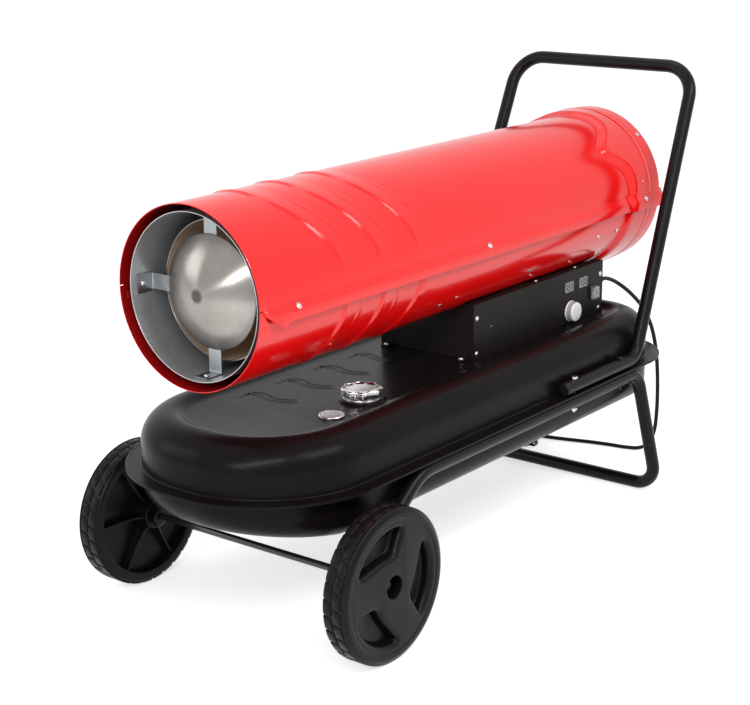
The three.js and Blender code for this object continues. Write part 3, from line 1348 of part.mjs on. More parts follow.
// Everything on the tube axis is drawn with the axis through its own origin.
const tube = new THREE.Group();
tube.position.z = TUBE_Z;
tube.add(
  piece('upper_shell', upperShell(), 'red'),
  piece('lower_shell', lowerShell(), 'red'),
  piece('liner', liner(), 'galvanised'),
  piece('combustion_chamber', combustionChamber(), 'stainless'),
  piece('flame_disc', flameDisc(), 'stainless'),
  piece('disc_bracket_top', discBracket(QUARTERS[0]), 'galvanised'),
  piece('disc_bracket_right', discBracket(QUARTERS[1]), 'galvanised'),
  piece('disc_bracket_bottom', discBracket(QUARTERS[2]), 'galvanised'),
  piece('disc_bracket_left', discBracket(QUARTERS[3]), 'galvanised'),
  piece('burner_head', burnerHead(), 'stainless'),
  piece('fuel_nozzle', fuelNozzle(), 'brass'),
  piece('igniter', igniter(), 'white'),
  piece('flame_sensor', flameSensor(), 'plastic'),
  piece('fan', fan(), 'motor'),
  piece('motor_shaft', bar('y', SHAFT_R, SHAFT_FRONT, SHAFT_REAR, [0, 0], 24), 'zinc'),
  piece('motor', motor(), 'motor'),
  piece('motor_bracket', motorBracket(), 'galvanised'),
  piece('pump_body', pumpBody(), 'zinc'),
  piece('pump_rotor', pumpRotor(), 'plastic'),
  piece('pump_cover', pumpCover(), 'zinc'),
  piece('rear_guard', rearGuard(), 'black'),
);
heater.add(tube);

heater.add(
  piece('tank_top', tankTop(), 'black'),
  piece('tank_bottom', tankBottom(), 'black'),
  piece('drain_plug', drainPlug(), 'zinc'),
  piece('filler_neck', fillerNeck(), 'zinc'),
  piece('cap_gasket', capGasket(), 'rubber'),
  piece('fuel_cap', fuelCap(), 'zinc'),
  piece('gauge_body', gaugeBody(), 'zinc'),
  piece('gauge_lens', gaugeLens(), 'clear'),
  piece('gauge_pointer', gaugePointer(), 'red'),
  piece('float_arm', floatArm(), 'plastic'),
  piece('fuel_pickup', fuelPickup(), 'brass'),
  piece('fuel_line', fuelLine(), 'plastic'),
  piece('air_hose', airHose(), 'rubber'),
  piece('control_box', controlBox(), 'black'),
  piece('side_panel', sidePanel(), 'black'),
  piece('thermostat', thermostat(), 'plastic'),
  piece('rocker_housing', rockerHousing(), 'plastic'),
  piece('display_room', display(DISPLAY_YS[0]), 'clear'),
  piece('display_set', display(DISPLAY_YS[1]), 'clear'),
  piece('circuit_board', circuitBoard(), 'board'),
  piece('transformer', transformer(), 'motor'),
  piece('cable_gland', cableGland(), 'plastic'),
  piece('handle', handle(), 'black'),
  piece('frame', frame(), 'black'),
  piece('axle', axle(), 'zinc'),
  piece('wheel_clip_left', wheelClip(-1), 'zinc'),
  piece('wheel_clip_right', wheelClip(1), 'zinc'),
  piece('cord_lead', cordLead(), 'rubber'),
  piece('cord_coil', cordCoil(), 'rubber'),
  piece('cord_tie', cordTie(), 'plastic'),
  piece('plug', plug(), 'plastic'),
);

for (const [side, word] of [[-1, 'left'], [1, 'right']]) {
  BOLT_YS.forEach((y, i) => heater.add(piece(`handle_bolt_${word}_${i + 1}`, handleBolt(side, y), 'zinc')));
}

// Controls are drawn about their own axis and placed on the panel.
const knob = piece('thermostat_knob', thermostatKnob(), 'white');
knob.rotation.set(0, Math.PI / 2, 0);
knob.position.set(BOX_HALF + 2 * GAP, KNOB_Y, KNOB_Z);
heater.add(knob);

const rockerPiece = piece('rocker', rocker(), 'plastic');
rockerPiece.position.set(ROCKER_X, SWITCH_Y, SWITCH_Z);
heater.add(rockerPiece);

for (const [side, word] of [[-1, 'left'], [1, 'right']]) {
  const mesh = piece(`wheel_${word}`, wheel(), 'rubber');
  mesh.rotation.set(0, (side * Math.PI) / 2, 0);
  mesh.position.set(side * (WHEEL_FACE - WHEEL_T), AXLE_Y, AXLE_Z);
  heater.add(mesh);
}

export default heater;
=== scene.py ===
import math

import bmesh
import bpy
import numpy as np
from mathutils import Matrix, Vector
from mathutils.geometry import tessellate_polygon


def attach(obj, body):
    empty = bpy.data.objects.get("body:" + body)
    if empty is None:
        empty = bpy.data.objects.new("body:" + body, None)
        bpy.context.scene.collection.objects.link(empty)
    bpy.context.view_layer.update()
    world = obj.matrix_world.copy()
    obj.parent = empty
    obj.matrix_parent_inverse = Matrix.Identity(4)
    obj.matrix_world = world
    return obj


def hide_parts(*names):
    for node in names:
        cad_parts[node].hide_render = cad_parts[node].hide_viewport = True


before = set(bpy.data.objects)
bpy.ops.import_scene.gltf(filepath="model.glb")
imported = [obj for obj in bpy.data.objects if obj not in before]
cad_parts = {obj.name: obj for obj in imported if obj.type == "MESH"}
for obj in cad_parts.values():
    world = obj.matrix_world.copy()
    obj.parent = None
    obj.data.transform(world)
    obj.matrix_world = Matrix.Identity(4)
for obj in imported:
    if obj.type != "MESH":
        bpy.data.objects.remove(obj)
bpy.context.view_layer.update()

MM = 0.001

# ---------------------------------------------------------------- sizes, in millimetres as in the CAD source

TUBE_Z, TUBE_R, TUBE_FRONT, TUBE_REAR = 572.0, 147.0, -587.0, 586.0
FLARE_OUT, HEM_OUT, SHEET = 9.0, 8.0, 1.2
LINER_R, CHAMBER_R, DISC_R, DISC_RIM, DISC_RISE = 133.0, 112.0, 91.5, -533.0, 35.0
FLANGE_Z, FLANGE_HALF, FLANGE_FRONT, FLANGE_REAR = 268.3, 231.5, -640.0, 575.0
FLANGE_FRONT_R, FLANGE_REAR_R, PAN_INSET, PAN_SHOULDER = 217.0, 139.0, 27.0, 50.0
PAN_CREST = 9.5
CREST_RINGS = ((82, 9.1), (86, 8.0), (90, 6.4), (94, 4.5), (98, 2.6), (102, 1.1), (105, 0.4), (109, 0.0))
PAN_TOP, PAN_FLOOR, FLOOR_SHOULDER, NOSE_Y, NOSE_SLOPE = 347.5, 185.0, 40.0, -450.0, 0.14
FILLER, GAUGE, DRAIN = (84.0, -272.0), (99.0, -370.0), (0.0, -420.0)
FUEL_LINE = (-24.0, 60.0)
ROD_R, SIDE_X, AXLE_Y, AXLE_Z = 12.5, 218.0, -453.0, 127.0
HANDLE_Z, FRAME_Z = 283.1, 253.5
WHEEL_X, WHEEL_T = 245.0, 43.7
CORD_R, COIL_X, COIL_Y, COIL_R, COIL_Z = 4.0, -150.0, 545.0, 49.0, 5.3
PANEL_X, KNOB_AT, SWITCH_AT = 104.0, (346.0, 371.0), (428.0, 391.0)
PANEL_FACE = 104.4
DISPLAY_Z, DISPLAYS_AT = 419, (("room", 341), ("set", 392))
GLAND_AT = (88, 465, 403)
PLUG_AT, PLUG_FACE, PIN_OFF = (-192, 595, 19.5), -250.0, 9.5
CAP_BASE = 355.8
GUARD_Y, WIRE_R = 577, 1.5
TREAD_BLOCKS, TREAD_SKEW = 30, 0.012

# ---------------------------------------------------------------- mesh helpers


def smoothstep(x, a, b):
    t = np.clip((x - a) / (b - a), 0, 1)
    return t * t * (3 - 2 * t)


def grid(rows, ring=True, caps=(False, False)):
    """Quads over rows of points. ring closes each row on itself, caps close the first and last row."""
    rows = np.asarray(rows, float)
    count, width = rows.shape[:2]
    reach = width if ring else width - 1
    i, j = np.meshgrid(np.arange(count - 1), np.arange(reach), indexing="ij")
    k = (j + 1) % width
    quads = np.stack([i * width + j, i * width + k, (i + 1) * width + k, (i + 1) * width + j], -1)
    faces = [tuple(q) for q in quads.reshape(-1, 4).tolist()]
    if caps[0]:
        faces.append(tuple(reversed(range(width))))
    if caps[1]:
        faces.append(tuple((count - 1) * width + n for n in range(width)))
    return rows.reshape(-1, 3), faces


def placed(part, matrix=None, offset=(0, 0, 0)):
    verts, faces = part
    verts = np.asarray(verts, float)
    if matrix is not None:
        verts = verts @ np.asarray(matrix, float).T
    return verts + np.asarray(offset, float), faces


AXES = {
    "z": np.eye(3),
    "y": np.array([[1, 0, 0], [0, 0, 1], [0, -1, 0]], float),     # local z runs along +y
    "-y": np.array([[1, 0, 0], [0, 0, -1], [0, 1, 0]], float),
    "x": np.array([[0, 0, 1], [0, 1, 0], [-1, 0, 0]], float),
    "-x": np.array([[0, 0, -1], [0, 1, 0], [1, 0, 0]], float),
    "-z": np.array([[1, 0, 0], [0, -1, 0], [0, 0, -1]], float),
}


def lathe(profile, axis="z", at=(0, 0, 0), segments=64, closed=False):
    """Surface of revolution of (radius, height) points about an axis through at."""
    profile = list(profile) + ([profile[0]] if closed else [])
    turn = np.arange(segments) * 2 * math.pi / segments
    rows = [np.stack([r * np.cos(turn), r * np.sin(turn), np.full(segments, h)], 1) for r, h in profile]
    return placed(grid(rows), AXES[axis], at)


def rounded(points, radius, steps=4, closed=False):
    """Points of a polyline with its corners turned into arcs. radius is one number or one for each corner."""
    pts = [np.asarray(p, float) for p in points]
    count = len(pts)
    radii = radius if hasattr(radius, "__len__") else [radius] * count
    out = []
    for i, p in enumerate(pts):
        if not closed and i in (0, count - 1) or radii[i] <= 0:
            out.append(p)
            continue
        a, b = pts[i - 1] - p, pts[(i + 1) % count] - p
        la, lb = np.linalg.norm(a), np.linalg.norm(b)
        a, b = a / la, b / lb
        half = math.acos(max(-1, min(1, float(a @ b)))) / 2
        if half > math.pi / 2 - 0.02:
            out.append(p)
            continue
        cut = min(radii[i] / math.tan(half), 0.49 * la, 0.49 * lb)
        r = cut * math.tan(half)
        middle = (a + b) / np.linalg.norm(a + b)
        centre = p + middle * r / math.sin(half)
        start, end = p + a * cut - centre, p + b * cut - centre
        turn = math.pi - 2 * half
        for k in range(steps + 1):
            part = turn * k / steps
            to_start, to_end = math.sin(turn - part), math.sin(part)
            out.append(centre + start * to_start / math.sin(turn) + end * to_end / math.sin(turn))
    return out


def sweep(path, radius, sides=16, caps=True):
    """Tube along a path. radius is one number or one for each point."""
    path = np.asarray(path, float)
    count = len(path)
    radii = np.broadcast_to(np.asarray(radius, float), (count,))
    tangent = np.gradient(path, axis=0)
    tangent /= np.linalg.norm(tangent, axis=1)[:, None]
    side = np.cross(tangent[0], [0, 0, 1] if abs(tangent[0][2]) < 0.9 else [1, 0, 0])
    turn = np.arange(sides) * 2 * math.pi / sides
    rows = []
    for p, t, r in zip(path, tangent, radii):
        side = side - t * (side @ t)
        side /= np.linalg.norm(side)
        up = np.cross(side, t)
        rows.append(p + r * (np.cos(turn)[:, None] * side + np.sin(turn)[:, None] * up))
    return grid(rows, caps=(caps, caps))


def block(x0, x1, y0, y1, z0, z1):
    rows = [[(x0, y0, z), (x1, y0, z), (x1, y1, z), (x0, y1, z)] for z in (z0, z1)]
    return grid(rows, caps=(True, True))


def prism(outline, z0, z1, soft=0.0):
    """Flat plate of a closed outline, with its edges eased by soft."""
    outline = np.asarray(outline, float)
    centre = outline.mean(0)
    inner = centre + (outline - centre) * (1 - soft / max(1e-6, np.abs(outline - centre).max()))
    levels = [(outline, z0), (outline, z1)]
    if soft:
        levels = [(inner, z0), (outline, z0 + soft), (outline, z1 - soft), (inner, z1)]
    return grid([np.column_stack([o, np.full(len(o), z)]) for o, z in levels], caps=(True, True))


def flat(loops, z=0.0):
    """Flat face with holes: the first loop is its edge. Loops are 2-D."""
    points = [[Vector((p[0], p[1], 0)) for p in loop] for loop in loops]
    faces = [tuple(t) for t in tessellate_polygon(points)]
    verts = np.array([(p[0], p[1], z) for loop in loops for p in loop], float)
    return verts, faces


def circle(radius, count, at=(0, 0), start=0.0):
    turn = start + np.arange(count) * 2 * math.pi / count
    return np.stack([at[0] + radius * np.cos(turn), at[1] + radius * np.sin(turn)], 1)


def rectangle(half_w, half_h, radius, steps, grow=0.0):
    """Closed outline of a rectangle about the origin, with rounded corners."""
    w, h = half_w + grow, half_h + grow
    return rounded([(-w, -h), (w, -h), (w, h), (-w, h)], radius, steps, closed=True)


def upright(loop, x, at):
    """A 2-D loop standing at x, about the point at (y, z)."""
    return [(x, at[0] + a, at[1] + b) for a, b in loop]


def turned(angle):
    """Matrix that turns a part about z."""
    c, s = math.cos(angle), math.sin(angle)
    return [[c, -s, 0], [s, c, 0], [0, 0, 1]]


def outwards(angle):
    """Matrix that points a part's z away from an axis along y, at an angle from +x towards +z."""
    c, s = math.cos(angle), math.sin(angle)
    return [[s, 0, c], [0, 1, 0], [-c, 0, s]]


def piece(name, parts, body, material, replaces=(), sharp=38, outward=None, thick=None,
          bevel=None):
    """One named mesh object made of parts, each (points in mm, faces) or (points, faces, material index).

    outward gives the direction in which the face at a point has to look, thick adds a wall on its other side.
    """
    verts, faces, index, base = [], [], [], 0
    for part in parts:
        v, f = part[0], part[1]
        verts.append(np.asarray(v, float))
        faces += [tuple(n + base for n in face) for face in f]
        index += [part[2] if len(part) > 2 else 0] * len(f)
        base += len(v)
    mesh = bpy.data.meshes.new(name)
    mesh.from_pydata((np.concatenate(verts) * MM).tolist(), [], faces)
    mesh.polygons.foreach_set("material_index", index)
    bm = bmesh.new()
    bm.from_mesh(mesh)
    bmesh.ops.remove_doubles(bm, verts=bm.verts, dist=2e-5)
    bmesh.ops.dissolve_degenerate(bm, edges=bm.edges, dist=1e-6)
    bmesh.ops.recalc_face_normals(bm, faces=bm.faces)
    if outward is not None:
        bm.faces.ensure_lookup_table()
        face = bm.faces[len(bm.faces) // 2]
        if face.normal.dot(Vector(outward(face.calc_center_median() / MM))) < 0:
            bmesh.ops.reverse_faces(bm, faces=bm.faces)
    bm.to_mesh(mesh)
    bm.free()
    mesh.shade_smooth()
    mesh.set_sharp_from_angle(angle=math.radians(sharp))
    obj = bpy.data.objects.new(name, mesh)
    bpy.context.scene.collection.objects.link(obj)
    for m in material if isinstance(material, (list, tuple)) else [material]:
        mesh.materials.append(m)
    if thick:
        wall = obj.modifiers.new("wall", "SOLIDIFY")
        wall.thickness, wall.offset = thick * MM, -1
    if bevel:
        soften(obj, bevel)
    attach(obj, body)
    if replaces:
        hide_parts(*replaces)
    return obj


def soften(obj, width, segments=2, angle=30):
    edge = obj.modifiers.new("edges", "BEVEL")
    edge.width, edge.segments = width * MM, segments
    edge.limit_method, edge.angle_limit = "ANGLE", math.radians(angle)
    edge.harden_normals = True


# ---------------------------------------------------------------- materials


class NodeMaker:
    """Adds nodes to a node tree. A socket given as an input is linked, any other value is set."""

    def __init__(self, tree):
        self.tree = tree

    def node(self, kind, inputs=(), **settings):
        made = self.tree.nodes.new(kind)
        for key, value in settings.items():
            setattr(made, key, value)
        for key, value in dict(inputs).items():
            if isinstance(value, bpy.types.NodeSocket):
                self.tree.links.new(value, made.inputs[key])
            else:
                made.inputs[key].default_value = value
        return made

    def math(self, kind, a, b=0.0, **settings):
        return self.node("ShaderNodeMath", {0: a, 1: b}, operation=kind, **settings).outputs[0]


class Finish(NodeMaker):
    """Small builder for a procedural material."""

    def __init__(self, name, **uniform):
        self.material = bpy.data.materials.new(name)
        self.material.use_nodes = True
        super().__init__(self.material.node_tree)
        self.shader = self.tree.nodes["Principled BSDF"]
        self.place = self.node("ShaderNodeTexCoord").outputs["Object"]
        for key, value in uniform.items():
            self.shader.inputs[key.replace("_", " ")].default_value = value

    def noise(self, scale, detail=3.0, rough=0.5, vector=None, stretch=None):
        vector = vector or self.place
        if stretch:
            vector = self.node("ShaderNodeMapping", {"Vector": vector, "Scale": stretch}).outputs["Vector"]
        inputs = {"Vector": vector, "Scale": scale, "Detail": detail, "Roughness": rough}
        return self.node("ShaderNodeTexNoise", inputs).outputs["Fac"]

    def ramp(self, fac, stops):
        made = self.node("ShaderNodeValToRGB", {"Fac": fac})
        ramp = made.color_ramp
        while len(ramp.elements) < len(stops):
            ramp.elements.new(0.5)
        for element, (at, colour) in zip(ramp.elements, stops):
            element.position = at
            element.color = (*colour, 1) if hasattr(colour, "__len__") else (colour, colour, colour, 1)
        return made.outputs["Color"]

    def colour(self, socket):
        self.tree.links.new(socket, self.shader.inputs["Base Color"])
        return self

    def rough(self, fac, low, high):
        out = self.node("ShaderNodeMapRange", {"Value": fac, "To Min": low, "To Max": high}).outputs["Result"]
        self.tree.links.new(out, self.shader.inputs["Roughness"])
        return self

    def bump(self, *layers):
        """Each layer is (height socket, strength, distance in metres)."""
        normal = None
        for height, strength, distance in layers:
            inputs = {"Height": height, "Strength": strength, "Distance": distance}
            if normal:
                inputs["Normal"] = normal
            normal = self.node("ShaderNodeBump", inputs).outputs["Normal"]
        self.tree.links.new(normal, self.shader.inputs["Normal"])
        return self


def paint(name, low, high, rough, grain, specular=0.5, grain_strength=0.12):
    """Painted or moulded surface: low and high are its colours, grain is the scale of its fine bumps."""
    f = Finish(name, Specular_IOR_Level=specular)
    cloud = f.noise(7.0, 4.0, 0.6)
    f.colour(f.ramp(cloud, [(0.3, low), (0.7, high)]))
    f.rough(f.noise(23.0, 5.0, 0.65), rough[0], rough[1])
    f.bump((f.noise(grain, 2.0, 0.5), grain_strength, 0.0006), (f.noise(38.0, 2.0), 0.03, 0.002))
    return f.material


def metal(name, low, high, rough, stretch=(1, 1, 1), scale=60.0, strength=0.05):
    f = Finish(name, Metallic=1.0)
    streak = f.noise(scale, 6.0, 0.7, stretch=stretch)
    f.colour(f.ramp(streak, [(0.25, low), (0.75, high)]))
    f.rough(streak, rough[0], rough[1])
    f.bump((streak, strength, 0.0005))
    return f.material


def spun_metal(name, tint, rough, centre, streaks=0.0, centre_mark=0.0, metallic=1.0):
    """Metal spun about an axis along y through centre (x, z in metres).

    streaks stretches its highlights along the radius, centre_mark is the radius of a dark spot in metres.
    """
    f = Finish(name, Metallic=metallic, Anisotropic=streaks, Anisotropic_Rotation=0.25)
    parts = f.node("ShaderNodeSeparateXYZ", {"Vector": f.place}).outputs
    dx, dz = f.math("SUBTRACT", parts["X"], centre[0]), f.math("SUBTRACT", parts["Z"], centre[1])
    radius = f.math("SQRT", f.math("ADD", f.math("MULTIPLY", dx, dx), f.math("MULTIPLY", dz, dz)))
    drift_x, drift_z = f.math("MULTIPLY", dx, 0.02), f.math("MULTIPLY", dz, 0.02)
    ring = f.node("ShaderNodeCombineXYZ", {"X": radius, "Y": drift_x, "Z": drift_z})
    fine = f.noise(1500.0, 4.0, 0.7, vector=ring.outputs[0])
    broad = f.noise(26.0, 4.0, 0.6)
    mixed = f.math("ADD", f.math("MULTIPLY", fine, 0.25), f.math("MULTIPLY", broad, 0.75))
    colour = f.ramp(mixed, tint)
    if centre_mark:
        edge = {"From Min": centre_mark * 0.7, "From Max": centre_mark * 1.25}
        spot = f.node("ShaderNodeMapRange", {"Value": radius, **edge, "To Min": 0.3,
                                             "To Max": 1.0}).outputs["Result"]
        colour = f.node("ShaderNodeVectorMath", {0: colour, 1: spot}, operation="MULTIPLY").outputs[0]
    f.colour(colour)
    f.rough(mixed, rough[0], rough[1])
    if streaks:
        tangent = f.node("ShaderNodeTangent", direction_type="RADIAL", axis="Y")
        f.tree.links.new(tangent.outputs[0], f.shader.inputs["Tangent"])
    f.bump((fine, 0.012, 0.0002))
    return f.material


def spangle(name, low, high, rough, metallic=1.0):
    f = Finish(name, Metallic=metallic)
    cells = f.node("ShaderNodeTexVoronoi", {"Vector": f.place, "Scale": 160.0}).outputs["Color"]
    tone = f.node("ShaderNodeSeparateColor", {"Color": cells}).outputs[0]
    streak = f.noise(9.0, 4.0, 0.6)
    mixed = f.math("ADD", f.math("MULTIPLY", tone, 0.2), f.math("MULTIPLY", streak, 0.8))
    f.colour(f.ramp(mixed, [(0.25, (low, low * 1.04, low * 1.08)), (0.75, (high, high * 1.03, high * 1.06))]))
    f.rough(mixed, rough[0], rough[1])
    f.bump((tone, 0.02, 0.0003), (f.noise(6.0, 2.0), 0.04, 0.008))
    return f.material


RED = paint("red_gloss_paint", (0.84, 0.004, 0.0045), (0.88, 0.005, 0.0055), (0.12, 0.17), 700.0,
            grain_strength=0.015)
# painted shade: a dark copy of the red paint for the inner faces of the shells, standing in for the shade
# inside the casing
RED_SHADED_INSIDE = paint("red_painted_shade_inside", (0.20, 0.002, 0.0025), (0.26, 0.003, 0.0035), (0.45, 0.6), 700.0,
                   specular=0.08)
BLACK = paint("black_satin_paint", (0.0050, 0.0036, 0.0040), (0.0072, 0.0053, 0.0058), (0.24, 0.31), 1500.0,
              specular=0.07, grain_strength=0.02)
ROD_BLACK = paint("black_rod_paint", (0.0040, 0.0036, 0.0038), (0.0060, 0.0054, 0.0057), (0.24, 0.34), 1300.0,
                  specular=0.16, grain_strength=0.06)
PANEL_BLACK = paint("black_panel_paint", (0.0085, 0.0068, 0.0062), (0.0115, 0.0092, 0.0084), (0.38, 0.5),
                    1700.0, specular=0.12, grain_strength=0.04)
TYRE = paint("wheel_moulded_black", (0.0040, 0.0034, 0.0037), (0.0060, 0.0052, 0.0056), (0.28, 0.38), 900.0,
             specular=0.13, grain_strength=0.06)
PLASTIC = paint("black_plastic_fine", (0.006, 0.006, 0.0063), (0.009, 0.009, 0.0095), (0.3, 0.42), 1400.0,
                specular=0.22)
RUBBER = paint("black_rubber_soft", (0.006, 0.0059, 0.006), (0.010, 0.0098, 0.010), (0.4, 0.55), 900.0,
               specular=0.18)
SCREEN = paint("display_dark_filter", (0.006, 0.005, 0.006), (0.008, 0.007, 0.008), (0.12, 0.2), 1400.0,
               specular=0.3, grain_strength=0.02)
FIGURE = paint("display_pale_bars", (0.62, 0.61, 0.60), (0.70, 0.69, 0.68), (0.4, 0.5), 900.0,
               grain_strength=0.04)
WHITE = paint("white_plastic_fine", (0.84, 0.84, 0.84), (0.90, 0.90, 0.90), (0.3, 0.42), 1200.0,
              grain_strength=0.04)
GREY = paint("grey_plastic_fine", (0.34, 0.34, 0.345), (0.42, 0.42, 0.425), (0.36, 0.48), 1200.0)
GREEN = paint("board_green_lacquer", (0.02, 0.10, 0.04), (0.03, 0.14, 0.055), (0.3, 0.45), 1200.0)
IRON = paint("motor_cast_grey", (0.12, 0.12, 0.125), (0.18, 0.18, 0.185), (0.45, 0.6), 500.0,
             grain_strength=0.3)
MARKER = paint("pointer_red_lacquer", (0.55, 0.02, 0.015), (0.65, 0.03, 0.02), (0.3, 0.4), 900.0)
DIAL = paint("dial_white_enamel", (0.72, 0.72, 0.70), (0.80, 0.80, 0.78), (0.3, 0.4), 900.0)
INK = paint("dial_black_ink", (0.012, 0.012, 0.012), (0.02, 0.02, 0.02), (0.4, 0.5), 900.0)
AXLE_BLACK = paint("axle_dark_oxide", (0.010, 0.010, 0.010), (0.016, 0.016, 0.016), (0.16, 0.24), 900.0,
                   specular=0.6, grain_strength=0.02)
SPANGLE = spangle("bracket_zinc_sheet", 0.30, 0.42, (0.24, 0.38))
LINER_METAL = spangle("liner_zinc_sheet", 0.44, 0.56, (0.34, 0.44), 0.8)
TUBE_CENTRE = (0, TUBE_Z * MM)
STEEL = spun_metal("stainless_drawn", [(0.3, (0.42, 0.385, 0.35)), (0.7, (0.56, 0.52, 0.475))], (0.24, 0.34),
                   TUBE_CENTRE)
SPUN_DISC = spun_metal("stainless_spun_disc", [(0.3, (0.27, 0.25, 0.233)), (0.7, (0.36, 0.338, 0.315))],
                       (0.22, 0.28), TUBE_CENTRE,
                       streaks=0.8, centre_mark=0.011)
HEAT_TINTED = spun_metal("stainless_heat_tinted", [(0.3, (0.66, 0.49, 0.36)), (0.7, (0.82, 0.65, 0.50))],
                         (0.34, 0.44), TUBE_CENTRE,
                         metallic=0.4)
ZINC = metal("zinc_plated_steel", (0.52, 0.52, 0.50), (0.68, 0.67, 0.64), (0.22, 0.36), scale=90.0)
ALUMINIUM = metal("cast_aluminium", (0.50, 0.50, 0.51), (0.64, 0.64, 0.65), (0.32, 0.46), scale=140.0,
                  strength=0.12)
BRASS = metal("brass_turned", (0.62, 0.42, 0.16), (0.76, 0.54, 0.24), (0.24, 0.36), scale=90.0)
CAP_METAL = metal("cap_plated_metal", (0.58, 0.57, 0.57), (0.70, 0.69, 0.69), (0.08, 0.14), stretch=(1, 1, 6),
                  scale=70.0, strength=0.01)
CERAMIC = paint("ceramic_white_glaze", (0.66, 0.64, 0.60), (0.76, 0.74, 0.70), (0.22, 0.34), 700.0)


def clear_plastic():
    f = Finish("clear_plastic", Transmission_Weight=0.92, IOR=1.46)
    f.colour(f.ramp(f.noise(40.0), [(0.3, (0.86, 0.88, 0.88)), (0.7, (0.93, 0.94, 0.94))]))
    f.rough(f.noise(60.0), 0.06, 0.14)
    f.bump((f.noise(120.0), 0.02, 0.0004))
    return f.material


CLEAR = clear_plastic()

# ---------------------------------------------------------------- camera

VIEW_ANGLES = (38.212, 16.024, -0.681)                           # azimuth, elevation and roll, in degrees
AIM, DISTANCE = Vector((-0.26140, 0.20332, 0.25956)), 3.46059    # metres
FOCAL_LENGTH, PHOTO_WIDTH = 1728.96, 750.0                       # pixels
SENSOR_WIDTH = 36.0                                              # mm

camera = bpy.data.objects.new("camera", bpy.data.cameras.new("camera"))
bpy.context.scene.collection.objects.link(camera)
bpy.context.scene.camera = camera
azimuth, elevation, roll = (math.radians(v) for v in VIEW_ANGLES)
level_share = math.cos(elevation)
back = Vector((math.sin(azimuth) * level_share, -math.cos(azimuth) * level_share, math.sin(elevation)))
right = Vector((math.cos(azimuth), math.sin(azimuth), 0))
up = back.cross(right)
right, up = math.cos(roll) * right + math.sin(roll) * up, -math.sin(roll) * right + math.cos(roll) * up
facing = Matrix((right, up, back)).transposed().to_4x4()
camera.matrix_world = Matrix.Translation(AIM + back * DISTANCE) @ facing
camera.data.sensor_width = SENSOR_WIDTH
camera.data.lens = FOCAL_LENGTH * SENSOR_WIDTH / PHOTO_WIDTH
camera.data.clip_start, camera.data.clip_end = 0.05, 60.0

# ---------------------------------------------------------------- power cord


def catmull(points, samples=12):
    """Centripetal Catmull-Rom curve through the points, as three.js draws it."""
    p = [np.asarray(q, float) for q in points]
    p = [2 * p[0] - p[1]] + p + [2 * p[-1] - p[-2]]
    out = []
    for i in range(1, len(p) - 2):
        p0, p1, p2, p3 = p[i - 1:i + 3]
        t = [0.0]
        for a, b in ((p0, p1), (p1, p2), (p2, p3)):
            t.append(t[-1] + max(1e-4, np.linalg.norm(b - a) ** 0.5))
        for s in np.linspace(t[1], t[2], samples, endpoint=False):
            a1 = (t[1] - s) / (t[1] - t[0]) * p0 + (s - t[0]) / (t[1] - t[0]) * p1
            a2 = (t[2] - s) / (t[2] - t[1]) * p1 + (s - t[1]) / (t[2] - t[1]) * p2
            a3 = (t[3] - s) / (t[3] - t[2]) * p2 + (s - t[2]) / (t[3] - t[2]) * p3
            b1 = (t[2] - s) / (t[2] - t[0]) * a1 + (s - t[0]) / (t[2] - t[0]) * a2
            b2 = (t[3] - s) / (t[3] - t[1]) * a2 + (s - t[1]) / (t[3] - t[1]) * a3
            out.append((t[2] - s) / (t[2] - t[1]) * b1 + (s - t[1]) / (t[2] - t[1]) * b2)
    return out + [p[-2]]


CORD_ROUTE = [
    (88, 495.3, 403), (88.3, 506, 401.5), (91, 524, 395), (97, 547, 381.5), (106, 572, 361), (117, 598, 332),
    (126, 619, 296), (132, 633, 252), (135, 641, 202), (136, 645, 150), (135, 647, 98), (131, 647, 54),
    (120, 646, 23), (98, 644, 8.4), (68, 640, 4.5), (30, 634, 4.4), (-10, 625, 4.4), (-50, 613, 4.4),
    (-88, 602, 4.6), (-116, 595.5, 5.1), (-133.7, 594, COIL_Z),
]


def cord_path():
    """Middle line of the cord: from the gland to the floor, three turns of the coil, and on to the plug."""
    path = [np.array((88, 480.0, 403))] + catmull(CORD_ROUTE, 6)
    turns, steps = 3, 48
    for i in range(turns * steps + 1):
        turn = i / steps
        radius = COIL_R - 8.8 * (1.5 - abs(turn - 1.5))
        rise = 8.6 * float(smoothstep(turn, 1.25, 1.75))
        angle = math.pi / 2 + 2 * math.pi * turn
        path.append(np.array((COIL_X + radius * math.cos(angle), COIL_Y + radius * math.sin(angle),
                              COIL_Z + rise)))
    path += [np.array(p) for p in ((-162, 594.6, 13.9), (-174, 595, 17.45), (-183.7, 595, 19.5),
                                   (-196, 595, 19.5))]
    return np.array(path)


CORD_PATH = cord_path()

# Moulded plug: bell with grip ridges and a two-pin face
bell = [(0, 0), (5.2, 0), (6.2, 1.5)]
for ring in range(5):
    low, crest, along = ring * 0.45, 7.4 + ring * 0.5, ring * 3.6
    bell += [(6.4 + low, 3 + along), (crest, 4 + along), (crest, 5 + along), (6.6 + low, 6 + along)]
body = [(9.4, 21.5), (16.5, 25), (19, 33), (19, 50), (17.2, 51), (17.2, 54), (18.6, 55), (18.6, 58), (0, 58)]
bell += rounded(body, [0, 3, 4, 0.5, 0.5, 0.5, 0.5, 1.5, 0], 4)
parts = [lathe(bell, "-x", PLUG_AT, 48)]
pin = rounded([(2.4, -2), (2.4, 18), (0, 19)], [0, 1.4, 0], 3)
for side in (-1, 1):
    parts.append((*lathe(pin, "-x", (PLUG_FACE, PLUG_AT[1], PLUG_AT[2] + side * PIN_OFF), 16), 1))
plug = piece("power_plug", parts, "heater", [PLASTIC, ZINC], ["plug"])

